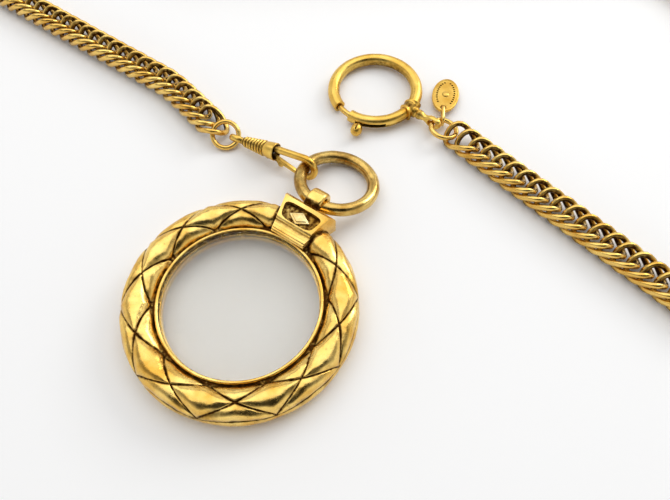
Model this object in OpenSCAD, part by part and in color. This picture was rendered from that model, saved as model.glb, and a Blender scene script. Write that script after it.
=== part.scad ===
// Pendant magnifier on a double curb chain, lying on a table.
// A lens in a quilted ring hangs from a loose ring, a swivel clip, the chain and a bolt ring clasp.
// The origin is on the table under the middle of the lens, with +X right, +Y away and +Z up.

/* [Quilted bezel] */
// Outside radius of the quilted ring
bezel_r = 27; // [25:0.5:30]
// Radius of the round tube that the ring is turned from
tube_r = 4.05; // [3.8:0.05:4.4]
// Height of the tube's middle over the table, less than its radius, so that it stands on a flat
tube_z = 3.65; // [3.4:0.05:3.75]
// Radius of the opening in front of the lens
aperture_r = 18; // [16.5:0.1:18.2]
// Quilt points round the ring
quilt_count = 10; // [8:1:14]
// Width of a quilt groove
groove_w = 0.35; // [0.25:0.05:0.5]
// Depth of a quilt groove
groove_depth = 0.5; // [0.3:0.05:0.7]
// Direction in which the pendant hangs from the middle of the lens
pendant_angle = 56.5; // [50:0.5:62]

/* [Lens] */
// Radius of the lens
lens_r = 18.4; // [17.4:0.1:18.45]
// Thickness of the lens at its rim
lens_edge = 1.9; // [1.5:0.1:2.1]
// Rise of each lens face at the middle
lens_rise = 1.5; // [1:0.1:2]
// Clearance between the lens and its seat
seat_gap = 0.1; // [0.05:0.05:0.2]
// Height of the retaining ring behind the lens
retainer_h = 1.1; // [0.8:0.1:1.3]
// Width of the retaining ring
retainer_w = 0.8; // [0.6:0.1:1.2]

/* [Crown and loop] */
// Half width of the crown plate at the rim
crown_outer = 7; // [6:0.5:8]
// Half width of the crown plate at the opening
crown_inner = 4.6; // [4:0.2:5.4]
// Height of the crown plate's flat top over the quilted tube
crown_rise = 0.95; // [0.8:0.05:1.3]
// Depth of the recess in the crown plate
recess_depth = 0.4; // [0.2:0.05:0.5]
// Width of the plain lozenge on the crown plate
lozenge_w = 3.6; // [3:0.1:4.4]
// Radius of the hole in the loop
loop_hole = 2.05; // [1.9:0.05:2.2]
// Thickness of the loop's band
loop_t = 1.4; // [1.1:0.1:1.6]
// Width of the loop's band
loop_w = 4.2; // [3.4:0.2:4.6]
// How far the middle of the loop's hole stands out from the bezel's edge
loop_reach = 3.4; // [3.2:0.1:4]

/* [Bail ring] */
// Radius of the bail ring at the middle of its wire
bail_r = 9.2; // [8.5:0.1:10]
// Wire of the bail ring
bail_wire = 3.2; // [2.8:0.1:3.2]
// Slope of the bail ring, whose near side is held up by the loop
bail_tilt = 13; // [13:0.5:15]

/* [Clip] */
// Length of the ribbed barrel
barrel_l = 10.3; // [9:0.1:12]
// Radius of the barrel at the swivel
barrel_small = 1.2; // [1.15:0.05:1.4]
// Radius of the barrel at its mouth
barrel_mouth = 2.35; // [2.1:0.05:2.6]
// Ribs round the barrel
rib_count = 7; // [4:1:7]
// Diameter of the hook's bar
hook_bar = 1.9; // [1.8:0.05:1.9]
// Distance of the bar from the barrel's axis
hook_offset = 0.95; // [0.7:0.05:1.1]
// Radius of the hook's bend at the middle of the bar
hook_bend = 2.75; // [2.75:0.05:2.9]
// Length from the swivel end of the barrel to the middle of the bend
hook_reach = 18.9; // [18:0.1:20]
// Thickness of the gate
gate_t = 1.1; // [0.8:0.1:1.2]
// Diameter of the gate's hinge pin
gate_pin = 0.7; // [0.6:0.05:0.9]
// Direction of the clip on the table
clip_heading = -29; // [-32:0.5:-26]
// Slope of the clip, which rises to the bail ring
clip_pitch = 10.5; // [10.2:0.1:10.6]
// Turn of the hook about the barrel's axis
clip_roll = 76; // [74:1:79]

/* [Jump rings] */
// Radius of a jump ring at the middle of its wire
jump_r = 3.45; // [3.3:0.05:3.7]
// Wire of a jump ring
jump_wire = 1.3; // [1.1:0.1:1.4]
// Width of the saw cut in a jump ring
jump_cut = 0.15; // [0.1:0.05:0.3]
// Slope of the jump ring at the clip
clip_ring_tilt = 28; // [26:1:30]

/* [Chain] */
// Distance from one chain link to the next
link_pitch = 3.68; // [3.64:0.01:3.7]
// Half length of a link at the middle of its wire
link_a = 4.65; // [4.6:0.01:4.7]
// Half width of a link at the middle of its wire
link_b = 3.45; // [3.4:0.01:3.5]
// Wire of a link
link_wire = 1.45; // [1.3:0.05:1.45]
// Twist of a link, as its rise over the product of its two half sizes
link_twist = 0.21; // [0.205:0.005:0.22]

/* [Bolt ring clasp] */
// Radius of the clasp at the middle of its tube
clasp_r = 11.4; // [10.6:0.1:12.2]
// Diameter of the clasp's tube
clasp_tube_d = 3.2; // [3:0.1:3.4]
// Bore of the clasp's tube
clasp_bore = 1.7; // [1.6:0.05:2]
// Diameter of the bolt that closes the gap
bolt_d = 1.56; // [1.4:0.02:1.56]
// Gap in the tube, in degrees
clasp_gap = 22; // [20:1:26]
// Travel of the bolt, in degrees
bolt_travel = 27; // [24:1:28]
// Length of the collar round the tube
collar_l = 3.4; // [3:0.1:4]
// Diameter of the knob that pulls the bolt
knob_d = 3; // [2.6:0.1:3.2]

/* [Tag] */
// Length of the oval tag
tag_l = 13; // [11:0.2:14]
// Width of the oval tag
tag_w = 7.3; // [6:0.1:8]
// Thickness of the oval tag
tag_t = 0.8; // [0.6:0.05:1]

/* [Hidden] */

gold = "goldenrod";
worn = "darkgoldenrod";
steel = "silver";
$fn = 48;

// Clearance where one fixed piece is laid over another
lay = 0.03;
// Clearance between pieces that turn on each other
run = 0.07;
// A cut goes this far past the face that it opens
past = 1;

// Turns a point about X, then Y, then Z, as rotate() does
function turn_x(p, a) = [p[0], p[1] * cos(a) - p[2] * sin(a), p[1] * sin(a) + p[2] * cos(a)];
function turn_y(p, a) = [p[0] * cos(a) + p[2] * sin(a), p[1], p[2] * cos(a) - p[0] * sin(a)];
function turn_z(p, a) = [p[0] * cos(a) - p[1] * sin(a), p[0] * sin(a) + p[1] * cos(a), p[2]];
function turned(p, r) = turn_z(turn_y(turn_x(p, r[0]), r[1]), r[2]);
function unit(v) = v / norm(v);
function total(v, n) = n <= 0 ? 0 : v[n - 1] + total(v, n - 1);

// Bezel
ring_r = bezel_r - tube_r;
tube_in = ring_r - tube_r;
tube_top = tube_z + tube_r;
seat_r = lens_r + seat_gap;
lip_z = tube_z + 1.25;
lip_t = 0.8;
flange_z = 1.5;
flange_out = tube_in + 1.6;
retainer_in = seat_r - lay - retainer_w;
lens_low = lip_z - seat_gap - lens_edge - lens_rise * (1 - pow(retainer_in / lens_r, 2));
retainer_z = lens_low - seat_gap - retainer_h;
quilt_step = 360 / quilt_count;

// Crown and loop
loop_at = bezel_r + loop_reach;
bail_pass = 0.5;
crown_in = tube_in - 0.6;
crown_out = loop_at - bail_wire / 2 - bail_pass;
crown_z = tube_top + crown_rise;
crown_low = 2.4;
loop_r = loop_hole + loop_t / 2;

// Bail ring: its far side lies on the table and its near side goes through the loop
bail_heading = pendant_angle + 180;
bail_z = bail_wire / 2 + bail_r * sin(bail_tilt);
loop_z = bail_z + bail_r * sin(bail_tilt);
bail_reach = loop_at + bail_r * cos(bail_tilt);
bail_at = [bail_reach * cos(pendant_angle), bail_reach * sin(pendant_angle), bail_z];
bail_turn = [0, -bail_tilt, bail_heading];
// The hook takes the bail ring on the side that faces the clip
hook_side = clip_heading + 180 - bail_heading;
hook_point = bail_at + turned([bail_r * cos(hook_side), bail_r * sin(hook_side), 0], bail_turn);

// Clip: the middle of the hook's bend lies on the bail ring's wire
clip_turn = [clip_roll, -clip_pitch, clip_heading];
bend_y = hook_offset - hook_bend;
clip_at = hook_point - turned([hook_reach, bend_y, 0], clip_turn);
slot_w = gate_t + 0.3;
slot_x = barrel_l - 3.1;
gate_pivot = [barrel_l - 1.7, -1.15];
tip_l = 1.3;
tip_y = bend_y - hook_bend;
gate_end = [hook_reach - tip_l - hook_bar / 2 - 0.2, tip_y + 0.25];

// Swivel eye, on the same axis as the barrel
eye_x = -2;
eye_r = 1.55;
eye_hole = 0.95;
eye_half = 0.95;
eye_roll = 30;
stem_r = 0.55;
stem_head = 0.85;
stem_l = 1.9;
head_l = 0.8;
eye_turn = [eye_roll, -clip_pitch, clip_heading];

// Jump ring at the clip: it slopes up away from the viewer
clip_ring_side = -20;
eye_hole_at = clip_at + turned([eye_x, 0, 0], clip_turn);
clip_ring_turn = [clip_ring_tilt, 0, 0];
clip_ring_at = eye_hole_at - turned(
    [jump_r * cos(clip_ring_side), jump_r * sin(clip_ring_side), 0], clip_ring_turn);

// The chain lies flat, at half the thickness that its twist gives it
link_z = link_twist * link_a * link_b / 2 + link_wire / 2 + 0.06;
// Where the last link's end wire stands in the jump ring at the clip
chain_start = [clip_ring_at[0] - 1, clip_ring_at[1] + 0.4];
bend = 17;
// Corners of the chain's route, each with the radius of its bend: in view, then stored past the view
route = [
    [chain_start[0], chain_start[1], 0], [-24, 66, 40], [-84, 106, bend], [-84, 180, bend],
    [81, 180, bend], [81, 146, bend], [-38.3, 146, bend], [-38.3, 112, bend],
    [131, 112, bend], [131, -28, bend], [51.3, 50.3, 0]
];
route_n = len(route);
function heading(i) = atan2(route[i + 1][1] - route[i][1], route[i + 1][0] - route[i][0]);
function wrap(a) = a > 180 ? a - 360 : a < -180 ? a + 360 : a;
function bend_angle(i) = (i == 0 || i == route_n - 1) ? 0 : wrap(heading(i) - heading(i - 1));
function bend_leg(i) = route[i][2] * tan(abs(bend_angle(i)) / 2);
function bend_len(i) = route[i][2] * abs(bend_angle(i)) * PI / 180;
function span(i) = norm([route[i + 1][0] - route[i][0], route[i + 1][1] - route[i][1]]);
function straight_len(i) = span(i) - bend_leg(i) - bend_leg(i + 1);
function corner(i) = [route[i][0], route[i][1]];
function along(i, s) = corner(i) + (bend_leg(i) + s) * [cos(heading(i)), sin(heading(i))];
// A place on the bend after stretch i, at s from where the bend starts, as x, y and heading
function on_bend(i, s) =
    let (side = sign(bend_angle(i + 1)), r = route[i + 1][2], h0 = heading(i), h = h0 + side * s / r * 180 / PI,
         from = along(i, straight_len(i)))
    [from[0] + side * r * (sin(h) - sin(h0)), from[1] - side * r * (cos(h) - cos(h0)), h];
// A place on the route, at s from its start, as x, y and heading
function place(s, i = 0) =
    (s <= straight_len(i) || i == route_n - 2)
        ? [along(i, s)[0], along(i, s)[1], heading(i)]
        : (s <= straight_len(i) + bend_len(i + 1))
            ? on_bend(i, s - straight_len(i))
            : place(s - straight_len(i) - bend_len(i + 1), i + 1);
route_len = total([for (i = [0:route_n - 2]) straight_len(i) + bend_len(i + 1)], route_n - 1);
link_n = floor((route_len - 2 * link_a) / link_pitch) + 1;
chain_end = place(link_a * 2 + (link_n - 1) * link_pitch);
// The first and the last link that each stored stretch holds
view_clip_n = 23;
view_clasp_n = 20;
stored_n = 6;
stored_step = ceil((link_n - view_clip_n - view_clasp_n) / stored_n);

// Points of a link's wire: an oval whose two ends are twisted against each other
function link_point(t) = [link_a * cos(t), link_b * sin(t), -link_twist * link_a * link_b * sin(t) * cos(t)];
function link_along(t) = unit([-link_a * sin(t), link_b * cos(t), -link_twist * link_a * link_b * cos(2 * t)]);
function link_out(t) =
    let (v = link_along(t), o = unit([cos(t) / link_a, sin(t) / link_b, 0]))
    unit(o - (o * v) * v);
function wire_points(rings, sides) =
    let (r = link_wire / 2 * (sides > 4 ? sqrt(2 * PI / sides / sin(360 / sides)) : 1))
    [for (i = [0:rings - 1])
        let (t = 360 * i / rings, n = link_out(t), b = cross(link_along(t), n))
        for (j = [0:sides - 1])
            link_point(t) + r * (n * cos(360 * (j + 0.5) / sides) + b * sin(360 * (j + 0.5) / sides))];
function ring_faces(rings, sides, first) =
    [for (i = [0:rings - 1], j = [0:sides - 1])
        let (a = first + i * sides + j,
             b = first + i * sides + (j + 1) % sides,
             c = first + ((i + 1) % rings) * sides + (j + 1) % sides,
             d = first + ((i + 1) % rings) * sides + j)
        for (f = [[a, c, b], [a, d, c]]) f];
function link_place(i) = place(link_a + i * link_pitch);
// Links number low to high as one solid of separate rings
module links(low, high, rings, sides) {
    shape = wire_points(rings, sides);
    points = [for (i = [low:high])
        let (at = link_place(i))
        for (p = shape) turn_z(p, at[2]) + [at[0], at[1], link_z]];
    faces = [for (i = [low:high]) for (f = ring_faces(rings, sides, (i - low) * rings * sides)) f];
    color(gold) polyhedron(points = points, faces = faces, convexity = 6);
}
// Rings and sides of a link's wire, fine in view and coarse where the chain is stored
view_rings = 14;
view_sides = 6;
stored_rings = 10;
stored_sides = 4;

// Jump ring at the clasp, held up by the last link and the clasp's eye
clasp_ring_high = 220;
clasp_ring_tilt = 12;
clasp_ring_z = 2.2;
clasp_ring_turn = [0, -clasp_ring_tilt, clasp_ring_high];
ring_set = 1.3;
ring_aside = 0.5;
clasp_ring_at = [
    chain_end[0] + ring_set * cos(chain_end[2]) - ring_aside * sin(chain_end[2]),
    chain_end[1] + ring_set * sin(chain_end[2]) + ring_aside * cos(chain_end[2]), clasp_ring_z];
function on_clasp_ring(a) = clasp_ring_at
    + turned([jump_r * cos(a - clasp_ring_high), jump_r * sin(a - clasp_ring_high), 0], clasp_ring_turn);

// Clasp: its eye is on the jump ring, and its far side lies on the table
clasp_side = 142;
clasp_heading = -38;
clasp_eye_out = 7.7;
clasp_eye_reach = clasp_r + clasp_eye_out;
clasp_eye_roll = -12;
clasp_eye_at = on_clasp_ring(clasp_side);
clasp_pitch = asin((clasp_eye_at[2] - clasp_tube_d / 2) / (clasp_eye_reach + clasp_r));
clasp_turn = [0, -clasp_pitch, clasp_heading];
clasp_at = clasp_eye_at - turned([clasp_eye_reach, 0, 0], clasp_turn);
gap_mid = 260;
gap_low = gap_mid - clasp_gap / 2;
gap_high = gap_mid + clasp_gap / 2;
bolt_lap = 5;
knob_past_gap = 16;
bolt_past_knob = 4;
knob_angle = gap_high + knob_past_gap;
bolt_low = gap_low - bolt_lap;
bolt_high = knob_angle + bolt_past_knob;
bore_high = 344;
bore_low = gap_low - bolt_travel;
knob_stem_d = 1;
knob_reach = clasp_tube_d / 2 + 0.5;
slot_h = knob_stem_d + 0.2;
collar_wall = 0.45;

// Tag link: a narrow oval on edge, from the jump ring to the hole in the tag
tag_side = 88;
tag_link_wire = 0.9;
tag_link_r = 1.3;
tag_link_l = 2.7;
tag_link_heading = 84;
tag_hole_r = 0.85;
tag_hole_inset = 1.3;
tag_heading = 77;
tag_ring_at = on_clasp_ring(tag_side);
tag_link_z = tag_link_r + tag_link_wire / 2 + 0.05;
tag_link_at = [tag_ring_at[0], tag_ring_at[1], tag_link_z];
tag_at = tag_link_at + [
    (tag_link_l + tag_link_r) * cos(tag_link_heading), (tag_link_l + tag_link_r) * sin(tag_link_heading), 0];
tag_pitch = asin((tag_link_z - tag_t / 2 - 0.05) / (tag_l - tag_hole_inset));
tag_turn = [0, tag_pitch, tag_heading];

module at(place, turn) {
    translate(place) rotate(turn) children();
}

// A round wire bent to a circle, or to part of one
module wire_ring(r, d, from = 0, angle = 360) {
    rotate_extrude(angle = angle, start = from) translate([r, 0]) circle(d = d);
}

// Profile of the bezel, turned round the lens: a round tube with a flange that holds the lens
module bezel_profile(grow = 0) {
    translate([ring_r, tube_z]) circle(r = tube_r + grow);
    translate([aperture_r - grow, flange_z - grow])
        square([flange_out - aperture_r + grow, lip_z + lip_t - flange_z + 2 * grow]);
}

// One quilt line: an arc in plan from the inner edge through the middle of the tube to the outer edge
line_a = [tube_in, 0];
line_b = ring_r * [cos(quilt_step / 2), sin(quilt_step / 2)];
line_c = bezel_r * [cos(quilt_step), sin(quilt_step)];
line_d = 2 * (line_a[0] * (line_b[1] - line_c[1]) + line_b[0] * (line_c[1] - line_a[1])
    + line_c[0] * (line_a[1] - line_b[1]));
line_mid = [
    ((line_a * line_a) * (line_b[1] - line_c[1]) + (line_b * line_b) * (line_c[1] - line_a[1])
        + (line_c * line_c) * (line_a[1] - line_b[1])) / line_d,
    ((line_a * line_a) * (line_c[0] - line_b[0]) + (line_b * line_b) * (line_a[0] - line_c[0])
        + (line_c * line_c) * (line_b[0] - line_a[0])) / line_d];
line_r = norm(line_a - line_mid);
line_from = atan2(line_a[1] - line_mid[1], line_a[0] - line_mid[0]);
line_to = atan2(line_c[1] - line_mid[1], line_c[0] - line_mid[0]);
groove_z = tube_z - 1.6;
module quilt_line() {
    translate([line_mid[0], line_mid[1], groove_z])
        rotate_extrude(angle = line_to - line_from, start = line_from)
            translate([line_r - groove_w / 2, 0]) square([groove_w, tube_top - groove_z + past]);
}
module quilting() {
    difference() {
        for (i = [0:quilt_count - 1])
            rotate([0, 0, pendant_angle + quilt_step * (i + 0.5)]) {
                quilt_line();
                mirror([0, 1, 0]) quilt_line();
            }
        rotate_extrude() {
            translate([ring_r, tube_z]) circle(r = tube_r - groove_depth);
            translate([aperture_r - past, 0]) square([flange_out - aperture_r + past, lip_z + lip_t]);
        }
    }
}
module bezel() {
    color(gold) difference() {
        rotate_extrude() difference() {
            bezel_profile();
            translate([0, -tube_r]) square([bezel_r + past, tube_r]);
            translate([0, flange_z - past]) square([seat_r, lip_z - flange_z + past]);
        }
        quilting();
    }
}

lens_z = lip_z - seat_gap - lens_edge / 2;
lens_ball = (lens_r * lens_r + lens_rise * lens_rise) / (2 * lens_rise);
module lens() {
    color("lightgray", 0.4) translate([0, 0, lens_z]) intersection() {
        cylinder(r = lens_r, h = lens_edge + 2 * lens_rise, center = true);
        translate([0, 0, lens_edge / 2 + lens_rise - lens_ball]) sphere(r = lens_ball, $fn = 200);
        translate([0, 0, lens_ball - lens_edge / 2 - lens_rise]) sphere(r = lens_ball, $fn = 200);
    }
}

// A snap ring behind the lens, with a gap to spring it in
snap_gap = 6;
module retaining_ring() {
    color(gold) rotate_extrude(angle = 360 - snap_gap, start = pendant_angle + 180 + snap_gap / 2)
        translate([retainer_in, retainer_z]) square([retainer_w, retainer_h]);
}

// The crown is laid over the tube: its section is swept across and trimmed to a wedge in plan
module crown_plan(inset) {
    polygon([
        [crown_in + inset, -crown_inner + inset], [crown_out - inset, -crown_outer + inset],
        [crown_out - inset, crown_outer - inset], [crown_in + inset, crown_inner - inset]]);
}
crown_flat_in = crown_in + 2.3;
crown_flat_out = crown_out - 2.1;
crown_front_drop = 2;
crown_back_drop = 1.9;
pocket_inset = 0.9;
pocket_edge = 0.4;
module crown_block() {
    intersection() {
        rotate([90, 0, 0]) linear_extrude(height = 2 * crown_outer, center = true)
            polygon([
                [crown_in, lip_z + lip_t + lay], [crown_in, crown_z - crown_front_drop],
                [crown_flat_in, crown_z], [crown_flat_out, crown_z],
                [crown_out, crown_z - crown_back_drop], [crown_out, crown_low], [ring_r, tube_z]]);
        linear_extrude(height = crown_z + past) crown_plan(0);
    }
}
module loop() {
    translate([loop_at, 0, loop_z]) rotate([90, 0, 0]) rotate_extrude() {
        translate([loop_hole, loop_t / 2 - loop_w / 2]) square([loop_t, loop_w - loop_t]);
        translate([loop_r, loop_w / 2 - loop_t / 2]) circle(d = loop_t);
        translate([loop_r, loop_t / 2 - loop_w / 2]) circle(d = loop_t);
    }
}
module crown() {
    color(gold) rotate([0, 0, pendant_angle]) difference() {
        union() {
            crown_block();
            loop();
        }
        rotate_extrude() bezel_profile(lay);
        translate([0, 0, crown_z - recess_depth]) linear_extrude(height = recess_depth + past)
            intersection() {
                crown_plan(pocket_inset);
                translate([crown_flat_in + pocket_edge, -crown_outer])
                    square([crown_flat_out - crown_flat_in - 2 * pocket_edge, 2 * crown_outer]);
            }
    }
}
lozenge_at = (crown_flat_in + crown_flat_out) / 2;
module crown_lozenge() {
    color(worn) rotate([0, 0, pendant_angle])
        translate([lozenge_at, 0, crown_z - recess_depth])
            for (step = [0, 1])
                linear_extrude(height = recess_depth * (1 + step * 0.6))
                    polygon([
                        [lozenge_w * (0.5 - step * 0.15), 0], [0, lozenge_w * (0.8 - step * 0.24)],
                        [lozenge_w * (step * 0.15 - 0.5), 0], [0, lozenge_w * (step * 0.24 - 0.8)]]);
}

module bail_ring() {
    color(worn) at(bail_at, bail_turn) wire_ring(bail_r, bail_wire);
}

// The clip's pieces are drawn along X from the swivel end of the barrel, with the hook on +Y
function barrel_at(x) = barrel_small + (barrel_mouth - barrel_small) * x / barrel_l;
rib_from = 0.9;
rib_step = 0.95;
rib_r = 0.4;
mouth_depth = 1.3;
mouth_wall = 0.4;
hook_root = barrel_l - mouth_depth - 0.4;
module along_x() {
    rotate([0, 90, 0]) children();
}
module barrel() {
    along_x() rotate_extrude() {
        polygon([[0, 0], [barrel_small, 0], [barrel_mouth, barrel_l], [0, barrel_l]]);
        for (i = [0:rib_count - 1]) {
            x = rib_from + i * rib_step;
            translate([barrel_at(x) - rib_r / 2, x]) circle(r = rib_r);
        }
    }
}
module clip_body() {
    color(gold) at(clip_at, clip_turn) {
        difference() {
            barrel();
            translate([-past, 0, 0]) along_x() cylinder(r = stem_r + run, h = stem_l + past);
            translate([stem_l - run, 0, 0]) along_x() cylinder(r = stem_head + run, h = head_l + 2 * run);
            translate([barrel_l - mouth_depth, 0, 0]) along_x()
                cylinder(r = barrel_at(barrel_l - mouth_depth) - mouth_wall, h = mouth_depth + past);
            translate([slot_x, -barrel_mouth - past, -slot_w / 2])
                cube([barrel_l, barrel_mouth + past - 0.3, slot_w]);
            translate([gate_pivot[0], gate_pivot[1], 0])
                cylinder(d = gate_pin + 2 * lay, h = 3 * barrel_mouth, center = true);
        }
        translate([hook_root, hook_offset, 0]) along_x() cylinder(d = hook_bar, h = hook_reach - hook_root);
        translate([hook_reach, bend_y, 0]) wire_ring(hook_bend, hook_bar, -90, 180);
        translate([hook_reach - tip_l, tip_y, 0]) {
            along_x() cylinder(d = hook_bar, h = tip_l);
            sphere(d = hook_bar);
        }
    }
}
gate_tail = slot_x + 0.4;
gate_top = gate_pivot[1] + 0.4;
gate_low = gate_pivot[1] - 0.7;
gate_half = 0.45;
lug_from = barrel_l + 0.1;
lug_to = barrel_l + 2.2;
lug_low = gate_pivot[1] - 2.8;
lug_slope = 0.6;
module clip_gate() {
    color(gold) at(clip_at, clip_turn) difference() {
        linear_extrude(height = gate_t, center = true) polygon([
            [gate_tail, gate_top], [gate_pivot[0] + 0.8, gate_top],
            [gate_end[0], gate_end[1] + gate_half], [gate_end[0], gate_end[1] - gate_half],
            [lug_to, lug_low + lug_slope], [lug_to - lug_slope, lug_low],
            [lug_from + lug_slope, lug_low], [lug_from, lug_low + 2 * lug_slope],
            [gate_pivot[0] + 0.7, gate_low], [gate_tail, gate_low]]);
        translate([gate_pivot[0], gate_pivot[1], 0])
            cylinder(d = gate_pin + 2 * run, h = 2 * gate_t, center = true);
    }
}
module clip_gate_pin() {
    half = sqrt(pow(barrel_at(gate_pivot[0]), 2) - pow(gate_pivot[1], 2)) - 0.1;
    color(steel) at(clip_at, clip_turn) translate([gate_pivot[0], gate_pivot[1], 0])
        cylinder(d = gate_pin, h = 2 * half, center = true);
}
leaf_t = 0.2;
module clip_gate_spring() {
    color(steel) at(clip_at, clip_turn)
        translate([slot_x + lay, -0.3 - lay - leaf_t, -gate_t / 2 + 0.1]) cube([2.4, leaf_t, gate_t - 0.2]);
}
eye_ball = eye_x - 0.9;
eye_neck = eye_x + 0.2;
neck_r = 0.8;
neck_end = -0.15;
module eye_shape(hole_x, ball_x, neck_x, end_x) {
    difference() {
        intersection() {
            along_x() rotate_extrude() intersection() {
                union() {
                    translate([0, ball_x]) circle(r = eye_r);
                    translate([0, ball_x]) square([eye_r, neck_x - ball_x]);
                    translate([0, neck_x]) circle(r = eye_r);
                    translate([0, neck_x]) square([neck_r, end_x - neck_x]);
                }
                translate([0, ball_x - 2 * eye_r]) square([2 * eye_r, end_x - ball_x + 2 * eye_r]);
            }
            translate([ball_x - 2 * eye_r, -eye_half, -2 * eye_r])
                cube([end_x - ball_x + 3 * eye_r, 2 * eye_half, 4 * eye_r]);
        }
        translate([hole_x, 0, 0]) rotate([90, 0, 0]) cylinder(r = eye_hole, h = 4 * eye_half, center = true);
    }
}
module clip_swivel_eye() {
    color(gold) at(clip_at, eye_turn) {
        eye_shape(eye_x, eye_ball, eye_neck, neck_end);
        translate([neck_end - 0.3, 0, 0]) along_x() cylinder(r = stem_r, h = stem_l - neck_end + 0.4);
        translate([stem_l, 0, 0]) along_x() cylinder(r = stem_head, h = head_l);
    }
}
jump_cut_angle = jump_cut / jump_r * 180 / PI;
clip_ring_cut = 62;
module clip_jump_ring() {
    color(gold) at(clip_ring_at, clip_ring_turn)
        wire_ring(jump_r, jump_wire, clip_ring_cut, 360 - jump_cut_angle);
}
clasp_ring_cut = 240;
module clasp_jump_ring() {
    color(gold) at(clasp_ring_at, clasp_ring_turn)
        wire_ring(jump_r, jump_wire, clasp_ring_cut, 360 - jump_cut_angle);
}

module chain_clip_end() {
    links(0, 0, view_rings, view_sides);
}
module chain_clip_run() {
    links(1, view_clip_n - 1, view_rings, view_sides);
}
module chain_stored(i) {
    low = view_clip_n + i * stored_step;
    links(low, min(low + stored_step, link_n - view_clasp_n) - 1, stored_rings, stored_sides);
}
module chain_clasp_run() {
    links(link_n - view_clasp_n, link_n - 2, view_rings, view_sides);
}
module chain_clasp_end() {
    links(link_n - 1, link_n - 1, view_rings, view_sides);
}

// The clasp's pieces are drawn round its middle, with the eye on +X and angles counted from there
module clasp_tube() {
    color(gold) at(clasp_at, clasp_turn) difference() {
        wire_ring(clasp_r, clasp_tube_d, gap_high, 360 - clasp_gap);
        wire_ring(clasp_r, clasp_bore, gap_high - past, bore_high - gap_high + past);
        wire_ring(clasp_r, clasp_bore, bore_low, gap_low - bore_low + past);
        rotate_extrude(angle = bolt_travel + 10, start = knob_angle - 5)
            translate([clasp_r, -slot_h / 2]) square([clasp_tube_d, slot_h]);
    }
}
module clasp_bolt() {
    color(gold) at(clasp_at, clasp_turn) wire_ring(clasp_r, bolt_d, bolt_low, bolt_high - bolt_low);
}
module clasp_knob() {
    color(gold) at(clasp_at, clasp_turn) rotate([0, 0, knob_angle]) {
        difference() {
            translate([clasp_r + bolt_d / 2 - 0.2, 0, 0]) along_x() cylinder(d = knob_stem_d, h = knob_reach);
            wire_ring(clasp_r, bolt_d + 2 * lay);
        }
        translate([clasp_r + knob_reach + knob_d / 2, 0, 0]) sphere(d = knob_d);
    }
}
spring_low = bolt_high + 1;
spring_high = bore_high - 1;
spring_turns = 12;
spring_steps = 8;
spring_wire = 0.3;
spring_coil = clasp_bore / 2 - run - spring_wire / 2;
spring_n = spring_turns * spring_steps;
function coil_point(i) =
    let (t = 360 * i / spring_steps, a = spring_low + (spring_high - spring_low) * i / spring_n,
         r = clasp_r + spring_coil * cos(t))
    [r * cos(a), r * sin(a), spring_coil * sin(t)];
function coil_out(i) =
    let (t = 360 * i / spring_steps, a = spring_low + (spring_high - spring_low) * i / spring_n)
    [cos(a) * cos(t), sin(a) * cos(t), sin(t)];
function coil_ring(i) =
    let (p = coil_point(i), v = unit(coil_point(i + 1) - coil_point(i - 1)), o = coil_out(i),
         n = unit(o - (o * v) * v), b = cross(v, n))
    [for (j = [0:3]) p + spring_wire / 2 * (n * cos(90 * j) + b * sin(90 * j))];
module clasp_spring() {
    points = [for (i = [0:spring_n]) for (p = coil_ring(i)) p];
    sides = [for (i = [0:spring_n - 1], j = [0:3])
        let (a = i * 4 + j, b = i * 4 + (j + 1) % 4)
        for (f = [[a, b + 4, b], [a, a + 4, b + 4]]) f];
    color(steel) at(clasp_at, clasp_turn)
        polyhedron(points = points, convexity = 6, faces = concat(
            [[0, 1, 2], [0, 2, 3]], sides,
            [[spring_n * 4 + 2, spring_n * 4 + 1, spring_n * 4], [spring_n * 4 + 3, spring_n * 4 + 2, spring_n * 4]]));
}
collar_half = collar_l / clasp_r * 90 / PI;
collar_d = clasp_tube_d + 2 * lay + 2 * collar_wall;
boss_r = 1.3;
boss_end = clasp_r + collar_d / 2 + 0.9;
module clasp_collar() {
    color(gold) at(clasp_at, clasp_turn) difference() {
        union() {
            wire_ring(clasp_r, collar_d, -collar_half, 2 * collar_half);
            translate([clasp_r, 0, 0]) along_x() cylinder(r = boss_r, h = boss_end - clasp_r);
        }
        wire_ring(clasp_r, clasp_tube_d + 2 * lay);
    }
}
clasp_neck = boss_end + lay;
module clasp_eye() {
    color(gold) at(clasp_at, clasp_turn) rotate([clasp_eye_roll, 0, 0])
        mirror([1, 0, 0]) translate([-clasp_eye_reach, 0, 0]) eye_shape(0, -0.9, 0.5, clasp_eye_reach - clasp_neck);
}

module tag_link() {
    color(gold) at(tag_link_at, [90, 0, tag_link_heading]) {
        for (side = [0, 1])
            translate([side * tag_link_l, 0, 0]) wire_ring(tag_link_r, tag_link_wire, 90 - 180 * side, 180);
        for (side = [-1, 1])
            translate([0, side * tag_link_r, 0]) along_x() cylinder(d = tag_link_wire, h = tag_link_l);
    }
}
tag_points = 48;
module tag_plate() {
    color(gold) at(tag_at, tag_turn) {
        difference() {
            translate([tag_l / 2 - tag_hole_inset, 0, -tag_t / 2]) linear_extrude(height = tag_t)
                polygon([for (i = [0:tag_points - 1])
                    [tag_l / 2 * cos(360 * i / tag_points), tag_w / 2 * sin(360 * i / tag_points)]]);
            cylinder(r = tag_hole_r, h = 3 * tag_t, center = true);
        }
        translate([tag_l / 2 - tag_hole_inset, 0, tag_t / 2 - 0.05]) cylinder(r = 1, h = 0.3);
    }
}

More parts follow.
